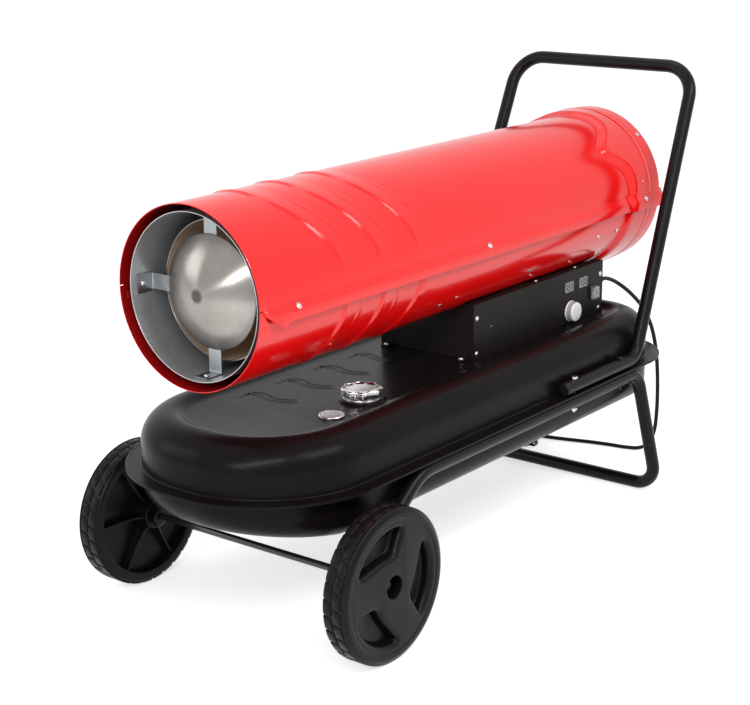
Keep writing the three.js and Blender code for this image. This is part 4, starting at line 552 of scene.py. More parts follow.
tie = rounded([(-120.0, 0.2), (-95.0, 0.2), (-95.0, 18.8), (-120.0, 18.8)], 4.0, 5, closed=True)
rows = [[(x, y, z) for x, z in tie] for y in (539.5, 541, 549, 550.5)]
tie_piece = piece("cord_tie_strap", [grid(rows)], "heater", PLASTIC, ["cord_tie"], thick=0.9,
                  outward=lambda c: (c[0] + 107.5, 0, c[2] - 9.5))
cord = piece("power_cord", [sweep(CORD_PATH, CORD_R, 14)], "heater", RUBBER,
             ["cord_lead", "cord_coil"])

gland = rounded([(0, 22), (4.2, 22), (5.6, 21), (7.6, 8.5), (9.0, 7), (11.5, 6), (12, 4.5), (12, 0.4),
                 (0, 0.4)],
                [0, 0.6, 1.5, 1.0, 0.8, 1, 0.6, 0.2, 0], 3)
parts = [lathe(gland, "y", GLAND_AT, 40)]
for ring in range(4):
    parts.append(lathe(circle(0.7, 8, (6.9 - ring * 0.35, 10 + ring * 3.0)), "y", GLAND_AT, 32, closed=True))
parts.append(lathe([(0, -8), (12, -8), (12, -1.6), (8, -1.6), (8, 1)], "y", GLAND_AT, 32))
piece("strain_relief", parts, "heater", PLASTIC, ["cable_gland"])

# ---------------------------------------------------------------- screws and places on the tube


def pan_head(at, normal, radius=4.2, height=2.4, washer=0.0):
    """Screw head with a cross recess, standing on a surface at a point, along its normal."""
    n = Vector(normal).normalized()
    turn = np.array(n.to_track_quat("Z", "Y").to_matrix())
    h = height
    dome = [(radius, -0.3), (radius, h * 0.35), (radius * 0.86, h * 0.75), (radius * 0.55, h * 0.96),
            (radius * 0.3, h)]
    count = 24
    angles = np.arange(count) * 2 * math.pi / count
    quarter = angles % (math.pi / 2)
    slots = np.where(np.minimum(quarter, math.pi / 2 - quarter) < 0.2, 1.0, 0.0)
    rows = [np.stack([r * np.cos(angles), r * np.sin(angles), np.full(count, z)], 1) for r, z in dome]
    for r, deep in ((0.52, 0.0), (0.46, 0.55), (0.12, 0.6)):
        z = h - deep * slots * h * (1 if deep else 0)
        reach = radius * np.where(slots > 0, r, min(r, 0.16))
        rows.append(np.stack([reach * np.cos(angles), reach * np.sin(angles), z], 1))
    parts = [placed(grid(rows, caps=(False, True)), turn, at)]
    if washer:
        ring = rounded([(washer, -0.2), (washer, 0.9), (radius - 0.6, 0.9)], [0, 0.4, 0], 3)
        parts.append(placed(lathe(ring, segments=24), turn, at))
    return parts


def tube_point(y, degrees, out=0.0):
    a = math.radians(degrees)
    r = TUBE_R + out
    return (r * math.cos(a), y, TUBE_Z + r * math.sin(a)), (math.cos(a), 0, math.sin(a))


# ---------------------------------------------------------------- casing shells

BEAD_TOPS = (-471.0, -375.0, -276.0)
SEAM_START = -574.2


def bump_line(u, width):
    return np.exp(-(u / width) ** 2)


def casing_relief(y, theta):
    """How far the painted shell stands out of the plain tube, at y and theta degrees round from the right."""
    side = 90 - np.abs(theta - 90)
    upper = (theta > -5) & (theta < 185)
    low = np.where(theta > 90, -(theta - 180),
                   theta)           # above the nearer seam, or below the right one if negative
    out = np.zeros(np.broadcast(y, theta).shape)
    for top in BEAD_TOPS:
        up_line = top + 84 * (1 - smoothstep(side, 4, 84))
        up_fade = smoothstep(side, 7, 20)
        low_line = top + 89 - 22 * smoothstep(-low, 12, 58)
        low_fade = smoothstep(-low, 6, 11) * (1 - smoothstep(-low, 58, 82))
        line = np.where(upper, up_line, low_line)
        fade = np.where(upper, up_fade, low_fade)
        up_second = smoothstep(side, 14, 24) * (1 - smoothstep(side, 58, 72))
        low_second = smoothstep(-low, 10, 14) * (1 - smoothstep(-low, 30, 40))
        second = np.where(upper, up_second, low_second)
        u = y - line
        out += fade * 1.9 * smoothstep(u, -5, 1.5) * (1 - smoothstep(u, 2, 44))
        out += fade * 0.7 * bump_line(u - 0.5, 3.2)
        out += second * fade * 0.75 * bump_line(u - 40, 2.6)
    wave = 484 - 62 * np.exp(-((side - 40) / 13.0) ** 2) + 8 * np.exp(-((side - 75) / 16.0) ** 2)
    wave = np.where(upper, wave, 466 + 10 * np.cos(np.radians(2 * low)))
    out += FLARE_OUT * smoothstep(y, wave - 4, wave + 20)
    out += 1.3 * bump_line(y - 546, 3.2) - 0.8 * bump_line(y - 555, 3.5)
    return out


def stations(front, rear):
    """Places along y where the shells have a row of points, closer together where there is relief."""
    fine = list(np.arange(-520, -185, 3.0)) + list(np.arange(412, 520, 4.0)) + list(np.arange(534, 568, 2.0))
    plain = list(np.arange(-187, 412, 26.0))
    edge = [front, front + 1.5, front + 6, -577, -574, -569, -564, -559, -553, -548, -543, -537, -531, -526,
            -521]
    inner = [y for y in fine + plain if front < y < rear]
    return np.array(sorted({*edge, *inner, rear - 5, rear - 1.2, rear}))


def shell(section, tail, angles):
    """Shell over the stations: section(y) gives the seam points, and the arc follows with its relief."""
    rows = []
    for y in stations(TUBE_FRONT, TUBE_REAR):
        arc_r = TUBE_R + casing_relief(np.full(len(angles), y), angles)
        arc = [(r * math.cos(math.radians(a)), r * math.sin(math.radians(a)), y) for r,
               a in zip(arc_r, angles)]
        grow = FLARE_OUT * float(smoothstep(y, 470, 500))
        stretch = tail if y == TUBE_REAR else 0
        right_side = []
        for x, z in section(y):
            scale = 1 + grow / math.hypot(x, z)
            right_side.append((x * scale, z * scale, y + stretch))
        left_side = [(-x, z, q) for x, z, q in reversed(right_side)]
        rows.append([(x, q, z + TUBE_Z) for x, z, q in right_side + arc + left_side])
    verts, faces = grid(rows, ring=False)
    width = len(rows[0])
    seam_points = len(section(0))
    keep = []
    for face in faces:
        in_arc = seam_points <= face[0] % width < width - seam_points - 1
        if in_arc or verts[face[0]][1] >= SEAM_START:
            keep.append(face)
    return verts, keep


def hem_section(y):
    foot = float(np.interp(y, (-580, -543, -521), (-5, -33, -25)))
    ridge = max(-9.0, foot * 0.45)
    tuck = 7 * (1 - float(smoothstep(y, -581, -552)))
    reach = TUBE_R + HEM_OUT
    return rounded([(reach - 1.2 - tuck, foot + 1), (reach - tuck, foot), (reach - tuck * 0.5, ridge),
                    (TUBE_R + 0.4, 1.5),
                    (TUBE_R * math.cos(math.radians(2.4)), TUBE_R * math.sin(math.radians(2.4)))],
                   [0, 0.4, 2.4, 3.0, 0], 3)


def lip_section(y):
    out = (HEM_OUT - SHEET - 0.3) * float(smoothstep(y, -560, -545))
    bend = math.sqrt(TUBE_R ** 2 - 22.6 ** 2)
    top = math.sqrt(TUBE_R ** 2 - 100)
    return rounded([(top + out + 1.0 * min(1, out), -10), (bend + out + 3.0 * min(1, out), -22.0),
                    (bend, -22.6),
                    (TUBE_R * math.cos(math.radians(-9.4)), TUBE_R * math.sin(math.radians(-9.4)))],
                   [0, 1.6, 1.0, 0], 3)


over = np.linspace(3.0, 177.0, 150)
under = np.linspace(-10.0, -170.0, 130)


def radial(c):
    return c[0], 0, c[2] - TUBE_Z


def mirrored(part):
    return part[0] * np.array([-1.0, 1, 1]), [tuple(reversed(face)) for face in part[1]]


def collar(start, end, rear):
    """Strip of plain tube wall between two angles, ahead of where the seam is folded out."""
    turns = np.radians(np.linspace(start, end, 8))
    return grid([[(TUBE_R * math.cos(a), y, TUBE_Z + TUBE_R * math.sin(a)) for a in turns]
                 for y in (TUBE_FRONT, TUBE_FRONT + 1.5, TUBE_FRONT + 6, -577.0, rear)], ring=False)


def fold_end():
    """The hem's front end, pinched in to the tube like a dog ear."""
    section = hem_section(-574.0)
    tip = (TUBE_R * math.cos(math.radians(-7.5)), TUBE_R * math.sin(math.radians(-7.5)))
    rows = []
    for share in np.linspace(0, 1, 6):
        bow = math.sin(share * math.pi / 2)
        row = []
        for x, z in section:
            pinch = (math.hypot(*tip) * x / math.hypot(x, z) - x) * share
            row.append((x + pinch, -574.0 - 5.5 * bow * (1 - 0.3 * abs(z) / 20),
                        TUBE_Z + z * (1 - 0.45 * share)))
        rows.append(row)
    return grid(rows, ring=False)


parts = [shell(hem_section, 8.0, over), collar(0.5, 3.0, -574.0), fold_end()]
parts += [mirrored(p) for p in parts[1:]]
upper_shell = piece("casing_upper", parts, "heater", [RED, RED_SHADED_INSIDE], ["upper_shell"],
                    outward=radial, thick=SHEET, sharp=50)
parts = [shell(lip_section, 5.0, under), collar(-10.0, -0.2, -545.0)]
parts += [mirrored(p) for p in parts[1:]]
lower_shell = piece("casing_lower", parts, "heater", [RED, RED_SHADED_INSIDE], ["lower_shell"],
                    outward=radial, thick=SHEET, sharp=50)
for skin in (upper_shell, lower_shell):
    # the inner faces take the dark red copy, which is painted shade
    skin.modifiers["wall"].material_offset = 1

seam = []
for y in (-505, 2, 526):
    for side in (-1, 1):
        grow = FLARE_OUT * float(smoothstep(y, 470, 500))
        seam += pan_head((side * (152.2 + grow), y, TUBE_Z - 4.4), (side * 0.81, 0, 0.586), 4.4, 2.6, 5.4)
for y, degrees in ((573, 45), (393, -24), (462, -24)):
    for angle in (degrees, 180 - degrees):
        at, normal = tube_point(y, angle, FLARE_OUT if y > 500 else 0.2)
        seam += pan_head(at, normal, 4.0, 2.2)
for y, degrees, radius in ((198.7, -43.4, 1.9), (335.0, -43.9, 1.9), (-46.2, -38.5, 1.9), (525, 11, 1.6)):
    for angle in (degrees, 180 - degrees):
        at, normal = tube_point(y, angle, (FLARE_OUT if y > 500 else 0) + 0.1)
        seam += pan_head(at, normal, radius, 1.0)
for y, degrees, wide, long in ((-88.2, -42.6, 9.0, 9.0), (183.7, -36.6, 5.2, 21.0)):
    for angle in (degrees, 180 - degrees):
        at, normal = tube_point(y, angle, 0.05)
        corner = min(wide, long) / 2 - 0.8 if wide != long else 1.2
        plate = prism(rectangle(wide / 2, long / 2, corner, 5), -0.4, 0.5, 0.2)
        n = Vector(normal)
        sideways = n.cross(Vector((0, 1, 0)))
        seam.append(placed(plate, np.array((sideways, (0, 1, 0), n)).T, at))
piece("casing_fasteners", seam, "heater", ZINC)

# ---------------------------------------------------------------- hot end

AXIS = (0, 0, TUBE_Z)
wall = rounded([(132, -110), (132, -576.0), (132.2, -577.2), (133.4, -577.4), (133.8, -576.4), (133, -574),
                (133, -110)], [0, 0.5, 0.5, 0.5, 0.5, 0.5, 0], 3)
parts = [lathe(wall, "y", AXIS, 160, closed=True)]
for row in (-505, -158):
    for quarter in range(4):
        angle = math.radians(45 + 90 * quarter)
        pad = grid([[(-12 + e, row + e, z), (12 - e, row + e, z), (12 - e, row + 24 - e, z),
                     (-12 + e, row + 24 - e, z)]
                    for e, z in ((0, 131.8), (0.6, 137), (2.5, 143.8))], caps=(False, True))
        parts.append(placed(pad, outwards(angle), AXIS))
piece("air_liner", parts, "heater", LINER_METAL, ["liner"])

profile = rounded([(111, -94.5), (111, -518), (111.6, -519), (113.0, -518.2), (113.0, -516.4), (112, -515.5),
                   (112, -508), (112.9, -506.4),
                   (112, -504.8), (112, -93.5), (46.1, -93.5), (46.1, -94.5)],
                  [0, 0.4, 0.4, 0.4, 0.4, 0.4, 0.6, 0.8, 0.6, 1, 0, 0], 3)
parts = [lathe(profile, "y", AXIS, 144, closed=True),
         (*lathe([(110.9, -95.2), (110.9, -517.6)], "y", AXIS, 144), 1)]
for quarter in range(4):
    angle = math.radians(45 + 90 * quarter)
    tab = block(-13, 13, -136, -134.5, 110.5, 130.6)
    parts.append(placed(tab, outwards(angle), AXIS))
piece("flame_chamber", parts, "heater", [STEEL, HEAT_TINTED], ["combustion_chamber"])

ball = (DISC_R ** 2 + DISC_RISE ** 2) / (2 * DISC_RISE)
middle = DISC_RIM - DISC_RISE + ball
front, rear = [], []
for i in range(41):
    angle = math.asin(DISC_R / ball) * i / 40
    r = ball * math.sin(angle)
    dimple = 0.5 * float(1 - smoothstep(r, 6.0, 11.0))
    front.append((r, middle - ball * math.cos(angle) + dimple))
    rear.append(((ball - 1) * math.sin(angle), middle - (ball - 1) * math.cos(angle) + dimple))
front[-1] = (DISC_R, DISC_RIM - 0.4)
disc = front + [(DISC_R + 0.3, DISC_RIM + 0.2), (DISC_R - 0.4, DISC_RIM + 0.6)] + rear[::-1]
piece("flame_dome", [lathe(disc, "y", AXIS, 160)], "heater", SPUN_DISC, ["flame_disc"])


def strap(points, width, thick, foot=0.0):
    """Bent sheet strap: points are (radius, y) along its middle, foot widens its outer end."""
    line = rounded(points, 3.0, 5)
    line = [np.asarray(p) for p in line]
    rows = []
    for i, p in enumerate(line):
        a, b = line[max(0, i - 1)], line[min(len(line) - 1, i + 1)]
        t = (b - a) / np.linalg.norm(b - a)
        n = np.array((-t[1], t[0])) * thick / 2
        w = width / 2 + foot * float(1 - smoothstep(i, 1, len(line) * 0.35))
        (r0, y0), (r1, y1) = p - n, p + n
        rows.append([(-w, y0, r0), (w, y0, r0), (w, y1, r1), (-w, y1, r1)])
    return grid(rows, caps=(True, True))


for word, turn, foot in (("top", 90, 0), ("right", 0, 0), ("bottom", -90, 0), ("left", 180, 3.0)):
    spin = outwards(math.radians(turn))
    bent = strap([(130.2, -566), (130.2, -531.0), (84, -531.0)], 26, 1.5, foot)
    hook = strap([(104, -530.9), (113.2, -530.9), (113.2, -502)], 24, 1.4)
    parts = [placed(bent, spin, AXIS), placed(hook, spin, AXIS)]
    screw_head = rounded([(0, 3.0), (3.0, 2.6), (4.6, 0.8), (4.8, 0), (0, 0)], [0, 1.5, 1, 0, 0], 3)
    head = lathe(screw_head, "-z", (0, -552, 129.6), 20)
    parts.append((*placed(head, spin, AXIS), 1))
    piece(f"disc_strap_{word}", parts, "heater", [SPANGLE, ZINC], [f"disc_bracket_{word}"],
          bevel=0.25)

# ---------------------------------------------------------------- fuel tank


def tank_outline(inset, steps=(28, 22)):
    half, front, rear = FLANGE_HALF - inset, FLANGE_FRONT + inset, FLANGE_REAR - inset
    fr, rr = FLANGE_FRONT_R - inset, max(8, FLANGE_REAR_R - inset)
    out = []
    for cx, cy, r, start, n in ((half - fr, front + fr, fr, -90, steps[0]),
                                (half - rr, rear - rr, rr, 0, steps[1]),
                                (rr - half, rear - rr, rr, 90, steps[1]), (fr - half, front + fr, fr, 180,
                                                                           steps[0])):
        for i in range(n + 1):
            a = math.radians(start + 90 * i / n)
            out.append((cx + r * math.cos(a), cy + r * math.sin(a)))
    return np.array(out)


def pan_rows(level, shoulder, middle, slope=0.0):
    """Rings from the flange's edge over the wall and the shoulder to the middle rings.

    slope lifts the pan ahead of NOSE_Y. The last ring's inset comes back with them.
    """
    away = 1 if level > FLANGE_Z else -1
    flat_z = FLANGE_Z + away * 1.5
    wall_end = level - away * shoulder
    profile = rounded([(0.2, FLANGE_Z), (0, flat_z + away * 0.6), (3.4, flat_z + away * 0.7), (4.4, flat_z),
                       (PAN_INSET, flat_z), (PAN_INSET, wall_end)], [0, 0.7, 0.6, 0.6, 3.2, 0], 12)
    brim = profile[:-2]
    arc = [(PAN_INSET + shoulder * (1 - math.cos(t)), wall_end + away * shoulder * math.sin(t))
           for t in np.linspace(0, math.pi / 2, 14)]
    rings = []
    for inset, z in [*brim, *arc, *middle]:
        line = tank_outline(inset)
        share = float(np.clip((flat_z - z) / (flat_z - wall_end), 0, 1))
        rings.append(np.column_stack([line, z + share * slope * np.maximum(0, NOSE_Y - line[:, 1])]))
    return rings, middle[-1][0]


WAVE = ((-79, -184), (-88, -174), (-90, -164), (-86, -154), (-76, -149), (-62, -151), (-46, -157),
        (-32, -158), (-18, -154), (-5, -146), (4, -138))
WAVE_SHIFTS = ((2, -196), (1, -99), (0, 0), (1, 96))
PATCH = (-118.0, 34.0, -402.0, -24.0)


def wave_relief(x, y):
    """Stamped wave lines of the tank's top, as raised ridges."""
    out = np.zeros_like(x)
    for dx, dy in WAVE_SHIFTS:
        line = np.array([p[:2] for p in catmull([(px + dx, py + dy, 0) for px, py in WAVE], 5)])
        gap = np.sqrt((x[..., None] - line[:, 0]) ** 2 + (y[..., None] - line[:, 1]) ** 2)
        nearest = gap.argmin(-1)
        share = nearest / (len(line) - 1)
        fade = smoothstep(share, 0.0, 0.10) * (1 - smoothstep(share, 0.86, 1.0))
        d = gap.min(-1)
        out -= fade * 1.5 * np.exp(-(d / 2.3) ** 2)
        across = y - line[nearest, 1]
        out += fade * 1.1 * np.exp(-((d - 7) / 6) ** 2) * (across < 0)
    edge = smoothstep(x, PATCH[0], PATCH[0] + 6) * (1 - smoothstep(x, PATCH[1] - 6, PATCH[1]))
    edge *= smoothstep(y, PATCH[2], PATCH[2] + 6) * (1 - smoothstep(y, PATCH[3] - 6, PATCH[3]))
    return out * edge


rows, inset = pan_rows(PAN_TOP + PAN_CREST, PAN_SHOULDER, [(ring, PAN_TOP + height) for ring,
                                                           height in CREST_RINGS])
top_loop = tank_outline(inset)
hole_pad = circle(42, 64, FILLER)
hole_gauge = circle(17.2, 48, GAUGE)
hole_line = circle(5.6, 20, FUEL_LINE)
x0, x1, y0, y1 = PATCH
frame_loop = np.array([(x0, y0), (x1, y0), (x1, y1), (x0, y1)])
parts = [grid(rows), flat([top_loop, frame_loop, hole_pad, hole_gauge, hole_line], PAN_TOP)]
xs, ys = np.arange(x0, x1 + 0.1, 2.0), np.arange(y0, y1 + 0.1, 2.0)
gx, gy = np.meshgrid(xs, ys)
parts.append(grid(np.stack([gx, gy, PAN_TOP + wave_relief(gx, gy)], -1), ring=False))
pad = rounded([(42, PAN_TOP), (41, PAN_TOP), (38, PAN_TOP + 3), (27, PAN_TOP + 3), (27, PAN_TOP - 3)],
              [0, 3, 3, 1, 0], 4)
parts.append(lathe(pad, "z", (*FILLER, 0), 64))
piece("tank_pan_upper", parts, "heater", BLACK, ["tank_top"], sharp=45)

rows, inset = pan_rows(PAN_FLOOR, FLOOR_SHOULDER, [(ring, PAN_FLOOR) for ring in (110.0, 150.0, 190.0)],
                       NOSE_SLOPE)
drain_loop = circle(14, 32, DRAIN)
parts = [grid(rows), flat([tank_outline(inset), drain_loop], PAN_FLOOR)]
parts.append(lathe(rounded([(14, PAN_FLOOR), (12, PAN_FLOOR + 1.5), (7, PAN_FLOOR + 1.5), (7, PAN_FLOOR + 4)],
                           [0, 1, 1, 0], 3), "z", (*DRAIN, 0), 32))
piece("tank_pan_lower", parts, "heater", BLACK, ["tank_bottom"], sharp=45)

# ---------------------------------------------------------------- fuel cap and gauge

FX, FY = FILLER


def cap_ring_points(radius, lobe, z, count=160):
    a = np.arange(count) * 2 * math.pi / count
    wave = np.cos(8 * a)
    r = radius + lobe * (wave + 0.25 * (wave ** 2 - 0.5))
    return np.stack([FX + r * np.cos(a), FY + r * np.sin(a), np.full(count, z)], 1)


levels = [(30, 0, 0.0), (32.0, 1.5, 0.0), (33.0, 1.7, 0.3), (33.7, 1.8, 1.0), (33.8, 1.8, 2.0),
          (33.8, 1.8, 11.0), (33.4, 1.8, 12.1), (32.8, 1.7, 12.8),
          (32.0, 1.5, 13.0), (31.0, 1.3, 13.0), (30.2, 1.1, 12.7), (29.8, 1.0, 12.0), (29.2, 0.8, 11.7),
          (20, 0.2, 11.6), (10, 0, 11.6), (0.01, 0, 11.6)]
parts = [grid([cap_ring_points(r, lobe, CAP_BASE + z) for r, lobe, z in levels])]
for k in range(48):
    a = 2 * math.pi * k / 48
    r = 33.95 + 1.8 * (math.cos(8 * a) + 0.25 * (math.cos(8 * a) ** 2 - 0.5))
    outline = [(r - 0.5, -0.5), (r + 0.15, -0.16), (r + 0.15, 0.16), (r - 0.5, 0.5)]
    ridge = prism(outline, CAP_BASE + 1.2, CAP_BASE + 10.8)
    parts.append(placed(ridge, turned(a), (FX, FY, 0)))
under_side, neck_end, inner_top = CAP_BASE, CAP_BASE - 11, CAP_BASE + 2
skirt = [(30, under_side), (23.4, under_side), (23.4, neck_end), (20.4, neck_end), (20.4, inner_top),
         (0, inner_top)]
parts.append(lathe(skirt, "z", (FX, FY, 0), 48))
stud = [(0, 12.5), (1.4, 12.5), (2.0, 12.2), (2.1, 11.4)]
for angle in (38, 62, 198, 222, 246):
    a = math.radians(angle)
    parts.append((*lathe(stud, "z", (FX + 25.5 * math.cos(a), FY + 25.5 * math.sin(a), CAP_BASE), 16), 1))
piece("filler_cap", parts, "cap", [CAP_METAL, ZINC], ["fuel_cap"], sharp=30)

# Gauge: bright ring, dark dial with generic marks from empty to full
GX, GY = GAUGE
ring = rounded([(16.4, 336), (16.4, 347.8), (21.5, 347.8), (21.5, 349.4), (20.4, 350.8), (18.4, 350.8),
                (18.1, 349.3), (15, 349.3), (15, 345.6), (0, 345.6)],
               [0, 0.2, 0.6, 0.8, 0.8, 0.5, 0.2, 0.2, 0.2, 0], 3)
parts = [lathe(ring, "z", (GX, GY, 0), 64), block(GX - 3, GX + 3, GY - 5, GY + 5, 295, 337)]
parts.append((*lathe([(14.9, 345.7), (14.6, 345.9), (0, 345.9)], "z", (GX, GY, 0), 48), 1))
for k in range(13):
    a = math.radians(-30 + 240 * k / 12)
    long = 3.6 if k % 3 == 0 else 2.0
    mark = block(13.6 - long, 13.6, -0.45, 0.45, 345.85, 346.05)
    parts.append((*placed(mark, turned(a), (GX, GY, 0)), 2))
arc = np.radians(np.linspace(-30, 210, 40))
rows = [[(GX + r * math.cos(a), GY + r * math.sin(a), 346.02) for a in arc] for r in (7.6, 8.4)]
parts.append((*grid(rows, ring=False), 2))
piece("gauge_dial", parts, "heater", [CAP_METAL, INK, DIAL], ["gauge_body"])
neck = rounded([(24, 335.5), (26, 335.5), (26, 350.8), (32, 350.8), (32, 352), (30, 352.2), (30, 354),
                (24, 354)], [0, 0, 0.4, 0.5, 0.5, 0.5, 0.6, 0.4], 3)
neck_part = lathe(neck, "z", (FX, FY, 0), 64, closed=True)
piece("filler_collar", [neck_part], "heater", ZINC, ["filler_neck"])

# ---------------------------------------------------------------- handle and frame


def with_mirror(points):
    return points + [(-x, y, z) for x, y, z in reversed(points)]


corners = with_mirror([(SIDE_X, 150, HANDLE_Z), (SIDE_X, 400, HANDLE_Z), (203, 627, 813)])
path = rounded(corners, [0, 45, 62, 62, 45, 0], 14)
piece("push_handle", [sweep(path, ROD_R, 28)], "heater", ROD_BLACK, ["handle"], sharp=45)
plug_end = rounded([(0, 7), (10.6, 7), (12.4, 4.5), (12.7, 0), (11, -0.2), (0, -0.2)],
                   [0, 2.5, 1.5, 0.4, 0.2, 0], 4)
for word, side in (("left", -1), ("right", 1)):
    piece(f"handle_end_{word}", [lathe(plug_end, "-y", (side * SIDE_X, 150.2, HANDLE_Z), 32)], "heater",
          PLASTIC)
slope = np.array((0, -292 - AXLE_Y, FRAME_Z - AXLE_Z))
slope /= np.linalg.norm(slope)
hub = np.array((SIDE_X, AXLE_Y, AXLE_Z))
corners = with_mirror([tuple(hub + slope * 34), (SIDE_X, -292, FRAME_Z), (SIDE_X, 410, FRAME_Z),
                       (246, 452, 11.4)])
corners = [(x, y, z + (1.1 if z < 20 else 0)) for x, y, z in corners]
path = rounded(corners, [0, 90, 38, 42, 42, 38, 90, 0], 14)
parts = [sweep(path, ROD_R, 28)]
across = np.array((0, -slope[2], slope[1]))
FLAT_END = ((46, 10.5, 14), (38, 9, 15), (28, 5.0, 15), (10, 4.5, 15),
            (-6, 4.5, 14.6), (-13, 4.5, 11.5), (-17, 4.5, 6.5), (-18.9, 4.4, 1.5))


def squared(value, power):
    return abs(value) ** power * np.sign(value)


for side in (-1, 1):
    rows = []
    for s, wide, tall in FLAT_END:
        middle = np.array((side * SIDE_X, AXLE_Y, AXLE_Z)) + slope * s
        wide_power, tall_power = (0.45, 0.7) if s < 36 else (0.9, 0.95)
        ring_points = []
        for a in np.arange(24) * 2 * math.pi / 24:
            reach = np.array((wide * squared(math.cos(a), wide_power), 0, 0))
            ring_points.append(middle + reach + across * tall * squared(math.sin(a), tall_power))
        rows.append(ring_points)
    parts.append(grid(rows, caps=(True, True)))
piece("leg_frame", parts, "heater", ROD_BLACK, ["frame"], sharp=45)
shaft = rounded([(0, -277), (5.2, -277), (6, -276), (6, 276), (5.2, 277), (0, 277)], 0.6, 2)
piece("wheel_axle", [lathe(shaft, "x", (0, AXLE_Y, AXLE_Z), 32)], "heater", AXLE_BLACK,
      ["axle"])

# ---------------------------------------------------------------- wheels


def pocket_loop(turn):
    def polar(radius, degrees):
        a = math.radians(degrees + 43) + turn
        return np.array((radius * math.cos(a), radius * math.sin(a)))

    def bow(a, b, c, n):
        t = np.linspace(0, 1, n, endpoint=False)[:, None]
        return (1 - t) ** 2 * a + 2 * t * (1 - t) * b + t ** 2 * c

    arc = [polar(98, 86 * k / 20) for k in range(20)]
    pts = np.array([*arc, *bow(polar(98, 86), polar(66, 66), polar(52, 36), 18),
                    *bow(polar(52, 36), polar(42, 10), polar(62, 7), 10),
                    *bow(polar(62, 7), polar(80, 4), polar(98, 0), 12)])
    for _ in range(10):
        pts = 0.25 * np.roll(pts, 1, 0) + 0.5 * pts + 0.25 * np.roll(pts, -1, 0)
    return pts


def inset_loop(pts, d):
    """The loop moved inwards by d (outwards if negative)."""
    tangent = np.roll(pts, -1, 0) - np.roll(pts, 1, 0)
    tangent /= np.linalg.norm(tangent, axis=1)[:, None]
    return pts + d * np.stack([-tangent[:, 1], tangent[:, 0]], 1)


def lift(loop, z):
    return np.column_stack([loop, np.full(len(loop), z)])


def tread_block(start, span, z0, z1):
    """One raised block of the tread, smaller towards its face and slanted across the wheel."""
    rows = []
    for r, inset in ((124.5, 0), (126.2, 0.8), (126.8, 2.2)):
        margin = inset / 127
        row = []
        for far, share in ((0, 0), (0, 0.5), (0, 1), (1, 1), (1, 0.5), (1, 0)):
            angle = start + margin + share * (span - 2 * margin) + (TREAD_SKEW if far else -TREAD_SKEW)
            row.append((r * math.cos(angle), r * math.sin(angle), z1 - inset if far else z0 + inset))
        rows.append(row)
    return grid(rows, caps=(False, True))


def wheel_parts():
    """One wheel about z, its outer side towards +z."""
    T = WHEEL_T
    pockets = [pocket_loop(2 * math.pi * k / 3) for k in range(3)]
    hub_loop = circle(21.5, 48)
    rim_loop = circle(106.5, 120)
    parts = [flat([rim_loop, hub_loop] + [inset_loop(p, -6.5) for p in pockets], T)]
    for p in pockets:
        fillet = [(-6.5 + 9.5 * math.sin(a),
                   T - 11.0 * (1 - math.cos(a))) for a in np.linspace(0, math.pi / 2, 9)]
        foot = [(3.4, T - 15.5), (4.2, T - 17.6), (5.6, T - 19.2), (7.6, T - 20)]
        rows = [lift(inset_loop(p, d), z) for d, z in fillet + foot]
        parts += [grid(rows), flat([inset_loop(p, 7.6)], T - 20)]
    hub_line = rounded([(21.5, T), (19, T), (19, 17.8), (6.5, 17.8), (6.5, -16), (22, -16), (24, -15),
                        (24, 0), (24, 17.5)], [0, 2.4, 0.8, 0.5, 0.5, 0.8, 1, 0, 0], 4)
    parts.append(lathe(hub_line, "z", (0, 0, 0), 48))
    rim = rounded([(106.5, T), (108.5, T), (110.2, T + 0.9), (118, T + 1.0), (125.0, T - 2.6),
                   (125.9, T - 3.4), (126.5, T - 4.2), (125.9, T - 5.0),
                   (125.0, T - 5.6), (125.0, 5), (122, 1.2), (119.5, 0), (108, 0), (105.5, 1.5), (104.2, 18),
                   (24, 18)],
                  [0, 1.5, 2.0, 8, 1.2, 0.3, 0.3, 0.3, 0.4, 2, 2, 2, 2, 2, 2, 0], 5)
    parts.append(lathe(rim, "z", (0, 0, 0), 120))
    for k in range(6):
        a = 2 * math.pi * (k + 0.5) / 6
        rib = grid([[(r, -w, 18.2), (r, w, 18.2), (r, w * 0.6, z), (r, -w * 0.6, z)] for r, w, z in
                    ((22, 2.6, -9), (32, 2.6, -3), (60, 2.5, 3.0), (90, 2.5, 5), (106, 2.5, 4.5))],
                   caps=(True, True))
        parts.append(placed(rib, turned(a)))
    for row, (z0, z1) in enumerate(((2.6, 19.0), (20.4, 36.6))):
        for k in range(TREAD_BLOCKS):
            start = 2 * math.pi * (k + 0.5 * row) / TREAD_BLOCKS
            parts.append(tread_block(start, 2 * math.pi / TREAD_BLOCKS * 0.86, z0, z1))
    return parts


wheel_mesh = wheel_parts()
for word, side in (("left", -1), ("right", 1)):
    axis = "x" if side > 0 else "-x"
    parts = [placed(p, AXES[axis], (side * WHEEL_X, AXLE_Y, AXLE_Z)) for p in wheel_mesh]
    piece(f"wheel_moulding_{word}", parts, f"wheel_{word}", TYRE, [f"wheel_{word}"], sharp=32)
    cap = rounded([(11.6, 263.0), (12, 264.6), (8.6, 265.4), (8.0, 275.6), (5.0, 277.6), (0, 277.6)],
                  [0, 0.6, 0.8, 2.5, 1.5, 0], 4)
    cap_part = lathe(cap, axis, (0, AXLE_Y, AXLE_Z), 32)
    piece(f"axle_cap_{word}", [cap_part], "heater", PLASTIC, [f"wheel_clip_{word}"])

# ---------------------------------------------------------------- control panel

